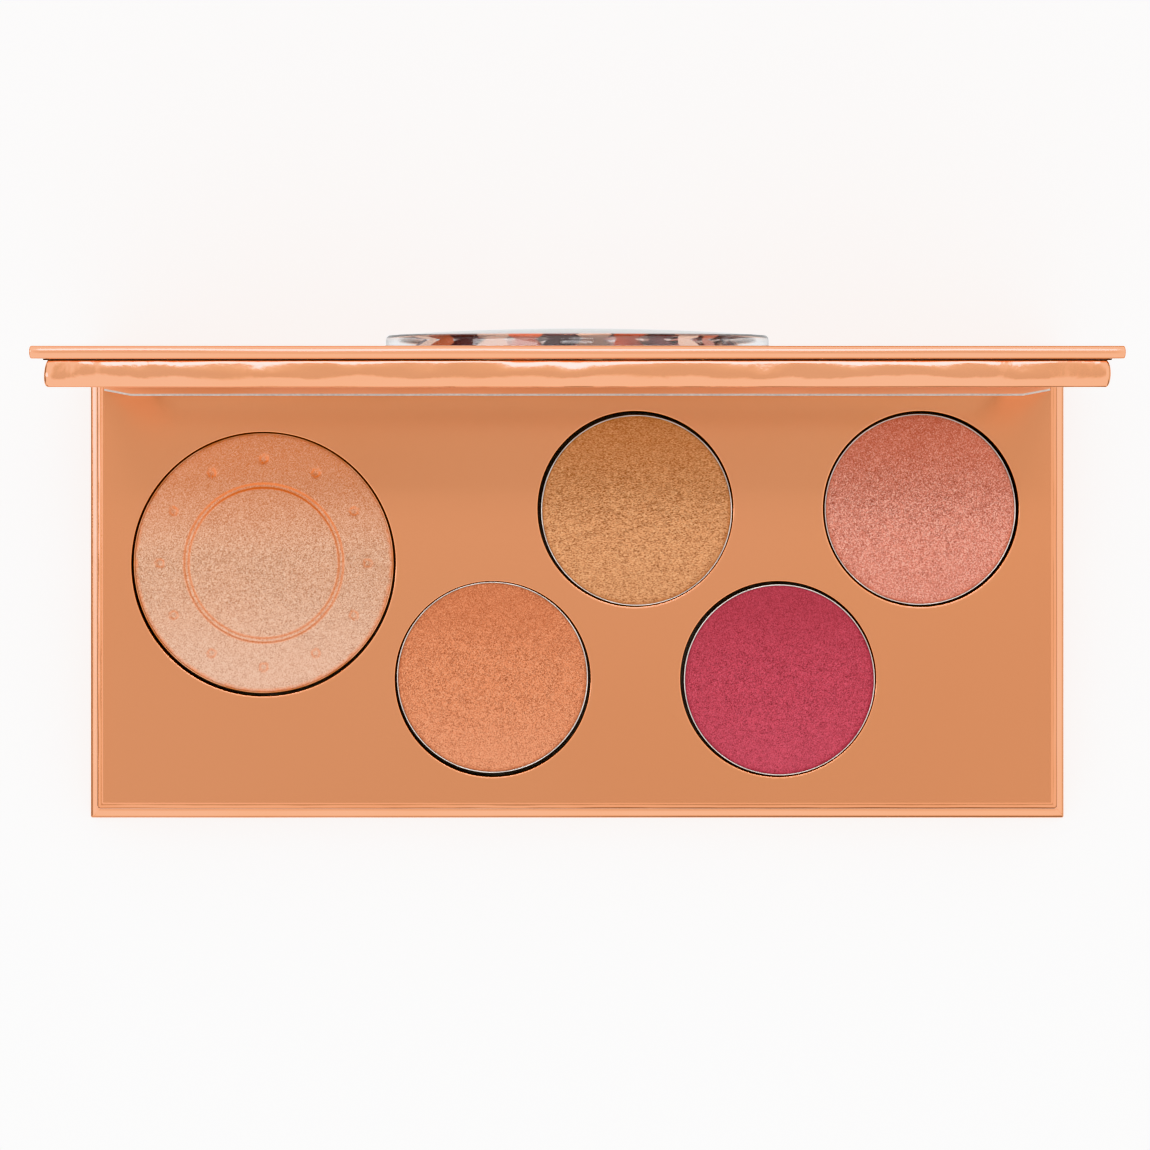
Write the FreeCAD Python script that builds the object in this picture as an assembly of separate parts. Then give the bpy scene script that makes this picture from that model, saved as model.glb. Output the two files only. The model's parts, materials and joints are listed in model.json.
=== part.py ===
# Book-style make-up palette in foil-wrapped paperboard, standing open on its base.
# Millimetres, +Z up, +X to the right, +Y towards the spine; the origin is the middle of the base's underside.
# The lid is drawn shut and then swung open about the paper fold at the top of the spine.
import FreeCAD, Part
import math
import os

# Pans of pressed powder
small_pan_diameter = 26.5
large_pan_diameter = 36.0
pan_height = 4.4
pan_wall = 0.3
pan_inside_radius = 0.3
pan_well_clearance = 0.3
rim_recess = 0.5
powder_recess = 0.2
powder_crown = 0.12
pan_pad_margin = 6.25
pan_pad_thickness = 0.25
pressed_ring_radius = 10.7
pressed_ring_width = 0.7
pressed_ring_depth = 0.2
pressed_dot_count = 12
pressed_dot_radius = 0.8
pressed_dot_depth = 0.25

# Layout of the wells in the tray
web_between_wells = 3.6
zigzag_angle = 50.0
front_margin = 4.45
back_margin = 6.7
left_margin = 4.8
right_margin = 5.4
large_pan_lift = 3.0

# Tray
tray_floor_thickness = 2.0
tray_glue_thickness = 0.15
tray_corner_radius = 1.2
tray_edge_radius = 0.6
face_card_thickness = 0.4
face_card_inset = 0.7

# Case boards, foil paper and the folds between them
board_thickness = 1.25
foil_thickness = 0.2
cover_overhang = 1.6
cover_corner_radius = 0.5
cover_edge_radius = 0.3
turn_in = 3.0
groove_clearance = 0.3
fold_bead_radius = 0.25
fold_clearance = 0.1
liner_thickness = 0.25
liner_lap = 4.6
liner_end_inset = 1.1
liner_trim_run = 3.7
liner_trim_cut = 0.7
spine_gap = 0.1

# Lid panel with its mirror
lid_open_angle = 87.6
shut_clearance = 0.2
lid_tape_thickness = 0.2
panel_thickness = 3.35
panel_corner_radius = 1.5
panel_edge_radius = 0.9
panel_hinge_gap = 1.0
mirror_margin = 6.5
mirror_thickness = 1.1
mirror_tape_thickness = 0.15
mirror_corner_radius = 2.0
mirror_clearance = 0.15
mirror_recess = 0.3

# Magnets in the tray's front edge and steel plates in the panel's
magnet_length = 12.0
magnet_width = 4.0
magnet_thickness = 2.0
strike_plate_thickness = 1.0
magnet_end_inset = 14.0
magnet_clearance = 0.1

# Clear shaker window in the lid and the flakes behind it
window_wall = 1.6
window_rise = 2.4
window_rim_rise = 1.55
window_edge_radius = 1.0
window_shoulder_thickness = 0.25
window_hole_clearance = 0.15
window_flange_width = 1.5
window_flange_thickness = 0.6
window_glue_thickness = 0.1
window_pocket_clearance = 0.2
window_margin = 0.235
backing_thickness = 0.3
flake_diameter = 4.4
flake_thickness = 0.12
flake_gap = 0.1
flake_wall_gap = 0.3
flake_fill_ratio = 0.46
flake_layers = 3
golden_angle = 137.508

# Wells, from the pans and the webs between them
small_well_radius = small_pan_diameter / 2 + pan_well_clearance
large_well_radius = large_pan_diameter / 2 + pan_well_clearance
well_link = 2 * small_well_radius + web_between_wells
zigzag_x = well_link * math.cos(math.radians(zigzag_angle))
zigzag_y = well_link * math.sin(math.radians(zigzag_angle))

# Tray depth: room for the zigzag of small wells and for the large well
zigzag_depth = front_margin + 2 * small_well_radius + zigzag_y + back_margin
large_pan_depth = 2 * (large_well_radius + large_pan_lift + back_margin)
tray_depth = max(zigzag_depth, large_pan_depth)
front_row = front_margin + small_well_radius
large_pan_y = tray_depth / 2 + large_pan_lift
large_link = large_well_radius + small_well_radius + web_between_wells
first_small_x = left_margin + large_well_radius + math.sqrt(large_link**2 - (large_pan_y - front_row) ** 2)
tray_width = first_small_x + 3 * zigzag_x + small_well_radius + right_margin

# Case sections
cover_thickness = board_thickness + 2 * foil_thickness
cover_width = tray_width + 2 * cover_overhang
spine_thickness = board_thickness + foil_thickness
base_depth = cover_overhang + tray_depth + spine_gap + liner_thickness + spine_thickness
front_y = -base_depth / 2
back_y = base_depth / 2
tray_left = -tray_width / 2
tray_front = front_y + cover_overhang
tray_back = tray_front + tray_depth
groove = spine_thickness + liner_thickness + groove_clearance

# Heights, from the table up to the shut lid's outer face
tray_bottom = cover_thickness + tray_glue_thickness
well_floor = tray_bottom + tray_floor_thickness
tray_top = well_floor + pan_pad_thickness + pan_height + rim_recess
card_bottom = tray_top - face_card_thickness
core_top = card_bottom - foil_thickness
panel_bottom = tray_top + liner_thickness + shut_clearance
panel_top = panel_bottom + panel_thickness
lid_top = panel_top + lid_tape_thickness + cover_thickness

# Hinge axis: the middle of the foil paper at the top of the spine
hinge_y = back_y - foil_thickness / 2
hinge_z = lid_top - foil_thickness / 2
cover_back = hinge_y - groove
spine_bottom = foil_thickness / 2 + groove
spine_top = hinge_z - groove
lid_reach = hinge_y - front_y
panel_near = groove + panel_hinge_gap
panel_far = lid_reach - cover_overhang
magnet_y = tray_front + mirror_margin / 2
magnet_x = tray_width / 2 - magnet_end_inset

# Window in the middle of the lid, as wide as the foil turned in behind the panel leaves room for
window_reach = (groove + lid_reach) / 2
window_y = hinge_y - window_reach
flange_room_radius = panel_far - window_reach - turn_in - window_margin
flange_radius = flange_room_radius - window_pocket_clearance
window_radius = flange_radius - window_flange_width

# Shades: name, centre from the tray's left front corner, pan diameter, and the pan's shift in its well
# as shares of the clearance to the right and to the back
shades = [
    ("highlighter", left_margin + large_well_radius, large_pan_y, large_pan_diameter, (0.0, 0.5)),
    ("peach", first_small_x, front_row, small_pan_diameter, (-0.15, 0.75)),
    ("gold", first_small_x + zigzag_x, front_row + zigzag_y, small_pan_diameter, (0.55, -0.6)),
    ("berry", first_small_x + 2 * zigzag_x, front_row, small_pan_diameter, (0.65, -0.45)),
    ("rose", first_small_x + 3 * zigzag_x, front_row + zigzag_y, small_pan_diameter, (-0.25, -0.15)),
]

vertical = FreeCAD.Vector(0, 0, 1)
crosswise = FreeCAD.Vector(1, 0, 0)
hinge_point = FreeCAD.Vector(0, hinge_y, hinge_z)
opening_axis = FreeCAD.Vector(-1, 0, 0)
cut_reach = 1.0


def block(x_low, x_high, y_low, y_high, z_low, z_high):
    """Rectangular block between two corners."""
    return Part.makeBox(x_high - x_low, y_high - y_low, z_high - z_low, FreeCAD.Vector(x_low, y_low, z_low))


def disc(radius, x, y, z_low, z_high):
    """Upright cylinder."""
    return Part.makeCylinder(radius, z_high - z_low, FreeCAD.Vector(x, y, z_low), vertical)


def crosswise_rod(radius, y, z):
    """Cylinder along X over the whole width of the covers."""
    return Part.makeCylinder(radius, cover_width, FreeCAD.Vector(-cover_width / 2, y, z), crosswise)


def soft_block(x_half, y_low, y_high, z_low, z_high, corner_radius, edge_radius=0.0, round_bottom=False):
    """Block centred on X with rounded corners and, where asked, rounded top and bottom edges."""
    solid = block(-x_half, x_half, y_low, y_high, z_low, z_high)
    corners = [e for e in solid.Edges if e.BoundBox.ZLength > (z_high - z_low) / 2]
    solid = solid.makeFillet(corner_radius, corners)
    if edge_radius > 0:
        levels = [z_low, z_high] if round_bottom else [z_high]
        rims = [e for e in solid.Edges if any(lies_at(e, level) for level in levels)]
        solid = solid.makeFillet(edge_radius, rims)
    return solid


def lies_at(edge, level):
    """Whether an edge lies flat at a height."""
    box = edge.BoundBox
    flat_tolerance = 1e-6
    return box.ZLength < flat_tolerance and abs(box.ZMin - level) < flat_tolerance


def turned(profile, x, y):
    """Solid of revolution about an upright axis, from (radius, height) points and three-point arcs."""
    edges = []
    here = profile[0]
    for step in profile[1:] + [profile[0]]:
        if isinstance(step[0], tuple):
            edges.append(Part.Arc(upright(here), upright(step[0]), upright(step[1])).toShape())
            here = step[1]
        else:
            edges.append(Part.makeLine(upright(here), upright(step)))
            here = step
    face = Part.Face(Part.Wire(edges))
    solid = face.revolve(FreeCAD.Vector(0, 0, 0), vertical, 360)
    solid.translate(FreeCAD.Vector(x, y, 0))
    return solid


def upright(point):
    """Point of an upright half plane as a vector."""
    return FreeCAD.Vector(point[0], 0, point[1])


def dome_height(rise, radius, reach):
    """Height of a spherical dome above its rim, at a distance from its middle."""
    sphere = (radius**2 + rise**2) / (2 * rise)
    return rise - sphere + math.sqrt(sphere**2 - reach**2)


def well_radius(pan_diameter):
    """Radius of the well that takes a pan."""
    return pan_diameter / 2 + pan_well_clearance


def well_cuts(z_low, z_high):
    """Cylinders that cut the five wells between two heights."""
    return [disc(well_radius(d), tray_left + x, tray_front + y, z_low, z_high) for _, x, y, d, _ in shades]


def wrapped_cover(y_low, y_high, z_low, window_below):
    """Board and the foil paper wrapped round it, turned in over a frame on the board's inner face."""
    z_high = z_low + cover_thickness
    x_half = cover_width / 2
    board = block(
        foil_thickness - x_half,
        x_half - foil_thickness,
        y_low + foil_thickness,
        y_high - foil_thickness,
        z_low + foil_thickness,
        z_high - foil_thickness,
    )
    skin = soft_block(x_half, y_low, y_high, z_low, z_high, cover_corner_radius, cover_edge_radius, True)
    opening_low = z_low - cut_reach if window_below else z_high - foil_thickness
    opening_high = z_low + foil_thickness if window_below else z_high + cut_reach
    opening = turn_in_window(x_half, y_low, y_high, opening_low, opening_high)
    return board, skin.cut(board).cut(opening)


def turn_in_window(x_half, y_low, y_high, z_low, z_high):
    """Space that the turned-in foil leaves bare."""
    return block(turn_in - x_half, x_half - turn_in, y_low + turn_in, y_high - turn_in, z_low, z_high)


def base_case():
    """Base board, spine board, their foil and the fold between them."""
    parts = {}
    parts["base_board"], parts["base_wrap"] = wrapped_cover(front_y, cover_back, 0.0, False)

    x_half = cover_width / 2
    inner_y = back_y - spine_thickness
    board = block(
        foil_thickness - x_half,
        x_half - foil_thickness,
        inner_y,
        back_y - foil_thickness,
        spine_bottom + foil_thickness,
        spine_top - foil_thickness,
    )
    parts["spine_board"] = board
    parts["spine_wrap"] = block(-x_half, x_half, inner_y, back_y, spine_bottom, spine_top).cut(board)

    # Quarter-round fold of foil paper from under the base up to the spine
    outside = crosswise_rod(groove + foil_thickness / 2, cover_back, spine_bottom)
    inside = crosswise_rod(groove - foil_thickness / 2, cover_back, spine_bottom)
    reach = 2 * groove
    quarter = block(-x_half, x_half, cover_back, cover_back + reach, spine_bottom - reach, spine_bottom)
    parts["lower_fold"] = outside.cut(inside).common(quarter)

    # Half of the hinge fold that stays with the spine, ending in the bead on the hinge axis
    strip = block(-x_half, x_half, back_y - foil_thickness, back_y, spine_top, hinge_z)
    bead = crosswise_rod(fold_bead_radius, hinge_y, hinge_z)
    parts["hinge_fold_lower"] = strip.fuse(bead).removeSplitter()
    return parts


def tray():
    """Glue sheet, floor board, well board, foil wrap, face card, magnets and hinge liner."""
    parts = {}
    glue = block(tray_left, -tray_left, tray_front, tray_back, cover_thickness, tray_bottom)
    board_face = cover_thickness - foil_thickness
    bare_board = turn_in_window(cover_width / 2, front_y, cover_back, board_face, cover_thickness)
    parts["tray_glue_sheet"] = glue.fuse(bare_board).removeSplitter()

    core = soft_block(
        tray_width / 2 - foil_thickness,
        tray_front + foil_thickness,
        tray_back - foil_thickness,
        tray_bottom,
        core_top,
        tray_corner_radius - foil_thickness,
        tray_edge_radius - foil_thickness,
    )
    shell = soft_block(
        tray_width / 2, tray_front, tray_back, tray_bottom, card_bottom, tray_corner_radius, tray_edge_radius
    )
    below_wells = block(2 * tray_left, -2 * tray_left, 2 * front_y, 2 * back_y, tray_bottom, well_floor)
    magnets = [
        block(
            side * magnet_x - magnet_length / 2,
            side * magnet_x + magnet_length / 2,
            magnet_y - magnet_width / 2,
            magnet_y + magnet_width / 2,
            core_top - magnet_thickness,
            core_top,
        )
        for side in (-1, 1)
    ]
    pockets = [
        block(
            magnet.BoundBox.XMin - magnet_clearance,
            magnet.BoundBox.XMax + magnet_clearance,
            magnet.BoundBox.YMin - magnet_clearance,
            magnet.BoundBox.YMax + magnet_clearance,
            magnet.BoundBox.ZMin,
            core_top + cut_reach,
        )
        for magnet in magnets
    ]
    wells = well_cuts(well_floor, tray_top + cut_reach)
    pocketed = core.cut(pockets)
    parts["tray_floor_board"] = pocketed.common(below_wells)
    parts["well_board"] = pocketed.cut(below_wells).cut(wells)
    parts["tray_wrap"] = shell.cut(core).cut(wells)
    parts["tray_magnets"] = Part.makeCompound(magnets)

    card = soft_block(
        tray_width / 2 - face_card_inset,
        tray_front + face_card_inset,
        tray_back - face_card_inset,
        card_bottom,
        tray_top,
        tray_corner_radius - foil_thickness,
    )
    parts["face_card"] = card.cut(wells)
    parts["hinge_liner"] = hinge_liner()
    return parts


def hinge_liner():
    """Foil strip glued to the tray's back and up the spine's inner face, its front corners trimmed."""
    x_half = tray_width / 2 - liner_end_inset
    lap_front = tray_back - liner_lap
    spine_face = back_y - spine_thickness
    outline = [
        (-x_half, spine_face),
        (-x_half, lap_front + liner_trim_cut),
        (liner_trim_run - x_half, lap_front),
        (x_half - liner_trim_run, lap_front),
        (x_half, lap_front + liner_trim_cut),
        (x_half, spine_face),
    ]
    corners = [FreeCAD.Vector(x, y, tray_top) for x, y in outline + outline[:1]]
    lap = Part.Face(Part.makePolygon(corners)).extrude(FreeCAD.Vector(0, 0, liner_thickness))
    rise = block(-x_half, x_half, spine_face - liner_thickness, spine_face, tray_top, spine_top)
    return lap.fuse(rise).removeSplitter()


def pans():
    """Metal pans, the powder pressed into them and the glue pads that hold them."""
    parts = {}
    pads = []
    pan_bottom = well_floor + pan_pad_thickness
    rim = pan_bottom + pan_height
    floor = pan_bottom + pan_wall
    bend = 1 - math.sqrt(0.5)
    for name, x, y, diameter, (shift_right, shift_back) in shades:
        centre_x = tray_left + x + shift_right * pan_well_clearance
        centre_y = tray_front + y + shift_back * pan_well_clearance
        outer = diameter / 2
        inner = outer - pan_wall
        outside_radius = pan_inside_radius + pan_wall
        outer_bend = outside_radius * bend
        inner_bend = pan_inside_radius * bend
        inside_corner = [
            (inner, floor + pan_inside_radius),
            ((inner - inner_bend, floor + inner_bend), (inner - pan_inside_radius, floor)),
            (0, floor),
        ]
        shell = [
            (0, pan_bottom),
            (outer - outside_radius, pan_bottom),
            ((outer - outer_bend, pan_bottom + outer_bend), (outer, pan_bottom + outside_radius)),
            (outer, rim),
            (inner, rim),
        ]
        parts[name + "_pan"] = turned(shell + inside_corner, centre_x, centre_y)

        edge = rim - powder_recess
        half_way = edge + dome_height(powder_crown, inner, inner / 2)
        cake = [(0, edge + powder_crown), ((inner / 2, half_way), (inner, edge))] + inside_corner
        powder = turned(cake, centre_x, centre_y)
        if name == "highlighter":
            powder = powder.cut(pressed_marks(centre_x, centre_y, edge + powder_crown, inner))
        parts[name + "_powder"] = powder
        pads.append(disc(outer - pan_pad_margin, centre_x, centre_y, well_floor, pan_bottom))
    parts["pan_glue_pads"] = Part.makeCompound(pads)
    return parts


def pressed_marks(x, y, crown, powder_radius):
    """Ring and circle of plain dots pressed into the large cake of powder."""
    ring_outer = pressed_ring_radius + pressed_ring_width / 2
    ring_inner = pressed_ring_radius - pressed_ring_width / 2
    ring_surface = crown - powder_crown + dome_height(powder_crown, powder_radius, pressed_ring_radius)
    ring_floor = ring_surface - pressed_ring_depth
    ring = disc(ring_outer, x, y, ring_floor, crown + cut_reach)
    marks = [ring.cut(disc(ring_inner, x, y, ring_floor, crown + cut_reach))]
    dot_circle = (ring_outer + powder_radius) / 2
    dot_surface = crown - powder_crown + dome_height(powder_crown, powder_radius, dot_circle)
    dot_height = dot_surface + pressed_dot_radius - pressed_dot_depth
    for index in range(pressed_dot_count):
        angle = 2 * math.pi * index / pressed_dot_count
        dot_x = x + dot_circle * math.cos(angle)
        dot_y = y + dot_circle * math.sin(angle)
        marks.append(Part.makeSphere(pressed_dot_radius, FreeCAD.Vector(dot_x, dot_y, dot_height)))
    return marks


def lid_cover():
    """Lid board and its foil with the round hole for the window, and the lid's half of the hinge fold."""
    parts = {}
    board, skin = wrapped_cover(front_y, cover_back, lid_top - cover_thickness, True)
    board_face = lid_top - foil_thickness - board_thickness
    hole = disc(window_radius + window_hole_clearance, 0, window_y, panel_bottom, lid_top + cut_reach)
    flange_room = disc(flange_room_radius, 0, window_y, panel_bottom, board_face)
    parts["lid_board"] = board.cut(hole)
    parts["lid_wrap"] = skin.cut(hole).cut(flange_room)
    x_half = cover_width / 2
    parts["hinge_fold_upper"] = block(
        -x_half,
        x_half,
        cover_back,
        hinge_y - fold_bead_radius - fold_clearance,
        lid_top - foil_thickness,
        lid_top,
    )
    liner_half = tray_width / 2 - liner_end_inset
    parts["lid_liner"] = block(
        -liner_half,
        liner_half,
        hinge_y - panel_near + fold_clearance,
        cover_back,
        lid_top - cover_thickness - liner_thickness,
        lid_top - cover_thickness,
    )
    return parts


def lid_panel():
    """Foil-wrapped panel inside the lid: back board, frame board, mirror, tape and steel plates."""
    parts = {}
    near_y = hinge_y - panel_near
    far_y = hinge_y - panel_far
    x_half = tray_width / 2
    frame_thickness = mirror_recess + mirror_thickness + mirror_tape_thickness - foil_thickness
    split = panel_bottom + foil_thickness + frame_thickness
    core = soft_block(
        x_half - foil_thickness,
        far_y + foil_thickness,
        near_y - foil_thickness,
        panel_bottom + foil_thickness,
        panel_top - foil_thickness,
        panel_corner_radius - foil_thickness,
        panel_edge_radius - foil_thickness,
        True,
    )
    shell = soft_block(
        x_half, far_y, near_y, panel_bottom, panel_top, panel_corner_radius, panel_edge_radius, True
    )
    frame_half = block(-cover_width, cover_width, 2 * front_y, 2 * back_y, panel_bottom, split)
    mirror_half = x_half - mirror_margin
    mirror_low = far_y + mirror_margin
    mirror_high = near_y - mirror_margin
    mirror_opening = soft_block(
        mirror_half + mirror_clearance,
        mirror_low - mirror_clearance,
        mirror_high + mirror_clearance,
        panel_bottom - cut_reach,
        split,
        mirror_corner_radius + mirror_clearance,
    )
    tape_low = split - mirror_tape_thickness
    glass_low = tape_low - mirror_thickness
    for name, low, high in (("mirror", glass_low, tape_low), ("mirror_tape", tape_low, split)):
        parts[name] = soft_block(mirror_half, mirror_low, mirror_high, low, high, mirror_corner_radius)

    flange_pocket = disc(flange_room_radius, 0, window_y, pocket_floor(), lid_top - cover_thickness)
    bare_back = turn_in_window(x_half, far_y, near_y, panel_top - foil_thickness, panel_top + cut_reach)
    plates = [strike_plate(side, 0.0) for side in (-1, 1)]
    plate_pockets = [strike_plate(side, magnet_clearance) for side in (-1, 1)]
    pocketed = core.cut(plate_pockets)
    parts["panel_back_board"] = pocketed.cut(frame_half).cut(flange_pocket)
    parts["panel_frame_board"] = pocketed.common(frame_half).cut(mirror_opening)
    parts["panel_wrap"] = shell.cut(core).cut([mirror_opening, bare_back, flange_pocket])
    parts["lid_strike_plates"] = Part.makeCompound(plates)

    # Glue film between cover and panel, filling what both turn-ins leave bare
    layer_top = panel_top + lid_tape_thickness
    layer = block(-x_half, x_half, far_y, near_y, panel_top, layer_top)
    cover_bare = turn_in_window(cover_width / 2, front_y, cover_back, layer_top, layer_top + foil_thickness)
    panel_bare = turn_in_window(x_half, far_y, near_y, panel_top - foil_thickness, panel_top)
    clear_of_flange = disc(flange_room_radius, 0, window_y, panel_bottom, lid_top)
    parts["lid_tape"] = layer.fuse([cover_bare, panel_bare]).cut(clear_of_flange).removeSplitter()
    return parts


def strike_plate(side, clearance):
    """Steel plate behind the panel's front edge that meets a magnet in the tray."""
    return block(
        side * magnet_x - magnet_length / 2 - clearance,
        side * magnet_x + magnet_length / 2 + clearance,
        magnet_y - magnet_width / 2 - clearance,
        magnet_y + magnet_width / 2 + clearance,
        panel_bottom + foil_thickness,
        panel_bottom + foil_thickness + strike_plate_thickness,
    )


def flange_face():
    """Height of the window flange's inner face in the shut lid."""
    return lid_top - foil_thickness - board_thickness - window_glue_thickness - window_flange_thickness


def chamber_ceiling():
    """Height of the window's flat inner face in the shut lid."""
    return lid_top + window_rim_rise - window_shoulder_thickness


def pocket_floor():
    """Height of the floor of the pocket that takes the window's flange and backing."""
    return flange_face() - backing_thickness


def shaker():
    """Clear crowned window with its flange, the glue ring under the lid board and the backing disc."""
    parts = {}
    chamber = window_radius - window_wall
    flange_top = flange_face() + window_flange_thickness
    rim = lid_top + window_rim_rise
    crown = lid_top + window_rise
    ceiling = chamber_ceiling()
    shoulder = window_radius - window_edge_radius
    bend = window_edge_radius * (1 - math.sqrt(0.5))
    half_way = rim + dome_height(crown - rim, shoulder, shoulder / 2)
    outline = [
        (chamber, flange_face()),
        (flange_radius, flange_face()),
        (flange_radius, flange_top),
        (window_radius, flange_top),
        (window_radius, rim - window_edge_radius),
        ((window_radius - bend, rim - bend), (shoulder, rim)),
        ((shoulder / 2, half_way), (0, crown)),
        (0, ceiling),
        (chamber, ceiling),
    ]
    parts["shaker_window"] = turned(outline, 0, window_y)
    board_face = flange_top + window_glue_thickness
    glue = disc(flange_radius, 0, window_y, flange_top, board_face)
    hole = disc(window_radius + window_hole_clearance, 0, window_y, flange_top, board_face)
    parts["window_glue_ring"] = glue.cut(hole)
    parts["shaker_backing"] = disc(flange_radius, 0, window_y, pocket_floor(), flange_face())
    return parts


def confetti():
    """Loose foil flakes in the chamber, in tilted layers on a sunflower spiral, sorted by colour."""
    colours = ["confetti_copper", "confetti_garnet", "confetti_pearl"]
    flakes = {name: [] for name in colours}
    flake_radius = flake_diameter / 2
    chamber = window_radius - window_wall
    spread = chamber - flake_radius - flake_wall_gap
    count = int(flake_fill_ratio * (spread / flake_radius) ** 2)
    floor = flange_face()
    layer_height = (chamber_ceiling() - floor) / flake_layers
    lift = layer_height / 2 - flake_gap - flake_thickness / 2
    steepest_tilt = math.degrees(math.asin(lift / flake_radius))
    flattest_tilt = steepest_tilt / 2
    for layer in range(flake_layers):
        height = floor + layer_height * (layer + 0.5)
        for index in range(count):
            turn = golden_angle * index + layer * 360.0 / flake_layers
            reach = spread * math.sqrt((index + 0.5) / count)
            x = reach * math.cos(math.radians(turn))
            y = window_y + reach * math.sin(math.radians(turn))
            lean = golden_angle * (3 * index + layer)
            tilt_axis = FreeCAD.Vector(math.cos(math.radians(lean)), math.sin(math.radians(lean)), 0)
            tilt = flattest_tilt + (steepest_tilt - flattest_tilt) * abs(math.cos(math.radians(5 * lean)))
            flake = disc(flake_radius, 0, 0, -flake_thickness / 2, flake_thickness / 2)
            flake.rotate(FreeCAD.Vector(0, 0, 0), tilt_axis, tilt)
            flake.translate(FreeCAD.Vector(x, y, height))
            flakes[colours[(index + layer) % len(colours)]].append(flake)
    return {name: Part.makeCompound(solids) for name, solids in flakes.items()}


def swung_open(parts):
    """The lid's pieces turned from shut to where the lid stands."""
    for shape in parts.values():
        shape.rotate(hinge_point, opening_axis, lid_open_angle)
    return parts


def main():
    """Build every piece and write one file for each."""
    os.makedirs("parts", exist_ok=True)
    pieces = {}
    pieces.update(base_case())
    pieces.update(tray())
    pieces.update(pans())
    lid = {}
    lid.update(lid_cover())
    lid.update(lid_panel())
    lid.update(shaker())
    lid.update(confetti())
    pieces.update(swung_open(lid))
    for name, shape in pieces.items():
        shape.exportStep("parts/" + name + ".step")
        print(f"{name}: {len(shape.Solids)} solids, {shape.Volume:.1f} mm3, valid {shape.isValid()}")
    swing = math.radians(lid_open_angle)
    arm = FreeCAD.Vector(0, window_y, lid_top) - hinge_point
    centre = hinge_point + FreeCAD.Rotation(opening_axis, lid_open_angle).multVec(arm)
    print(f"tray {tray_width:.2f} by {tray_depth:.2f}, cover {cover_width:.2f} by {base_depth:.2f}")
    print(f"tray top {tray_top:.2f}, shut lid top {lid_top:.2f}, hinge axis y {hinge_y:.3f} z {hinge_z:.3f}")
    print(f"window centre y {centre.y:.3f} z {centre.z:.3f}")
    print(f"window axis (0, {math.sin(swing):.5f}, {math.cos(swing):.5f})")


main()
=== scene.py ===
"""Looks of a book-style make-up palette in copper foil paper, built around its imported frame."""

import json
import logging
import math
from abc import ABC, abstractmethod
from collections.abc import Iterable, Sequence
from dataclasses import dataclass
from enum import Enum
from functools import cache
from itertools import pairwise

import bmesh
import bpy
import numpy as np
from mathutils import Matrix, Vector, noise


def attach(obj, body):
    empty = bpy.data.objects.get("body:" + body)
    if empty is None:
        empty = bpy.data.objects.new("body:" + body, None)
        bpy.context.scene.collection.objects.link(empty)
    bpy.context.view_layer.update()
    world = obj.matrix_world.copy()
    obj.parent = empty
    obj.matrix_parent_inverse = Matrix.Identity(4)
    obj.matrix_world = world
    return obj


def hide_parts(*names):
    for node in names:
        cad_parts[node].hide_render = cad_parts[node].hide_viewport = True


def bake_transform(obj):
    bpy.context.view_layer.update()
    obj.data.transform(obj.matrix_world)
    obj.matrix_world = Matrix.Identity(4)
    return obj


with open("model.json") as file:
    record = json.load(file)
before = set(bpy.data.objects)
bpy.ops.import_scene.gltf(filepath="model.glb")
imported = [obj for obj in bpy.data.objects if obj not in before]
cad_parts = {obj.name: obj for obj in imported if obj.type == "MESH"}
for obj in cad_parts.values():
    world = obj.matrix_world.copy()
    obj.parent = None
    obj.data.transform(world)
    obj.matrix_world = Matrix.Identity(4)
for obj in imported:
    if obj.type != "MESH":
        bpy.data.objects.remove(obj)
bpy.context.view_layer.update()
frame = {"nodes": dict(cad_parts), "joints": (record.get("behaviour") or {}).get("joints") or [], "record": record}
log = logging.getLogger("palette")

# A millimetre in metres; the lengths below are in millimetres
MM = 0.001
# Spans of a rounded edge, and the flat rim kept beside it
ARC_STEPS = 5
SUPPORT = 0.22
# Sharpest bend that is shaded smooth
SMOOTH_ANGLE = math.radians(38)
# Points closer than this are one point
MELD = 1e-4
# Points in a round row
ROUND_COUNT = 168
# How far apart a slab's two edges lie in the noise
EDGES_APART = 40
# Range that soft noise mostly keeps to
NOISE_LOW, NOISE_HIGH = 0.3, 0.7

Colour = tuple[float, float, float]
Point = tuple[float, float]
Span = tuple[float, float]
Disc = tuple[Vector, Vector, float]
WHITE: Colour = (1.0, 1.0, 1.0)


class Body(Enum):
    """Bodies of the frame that pieces ride on."""

    BASE = "base"
    LID = "lid"
    FLAKES = "flakes"


class Effect(Enum):
    """Surface effects that several finishes share, each a node group."""

    FOIL_RIPPLE = "foil_ripple"
    POWDER_GRAIN = "powder_grain"
    PAPER_FIBRE = "paper_fibre"
    HANDLING_HAZE = "handling_haze"


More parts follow.
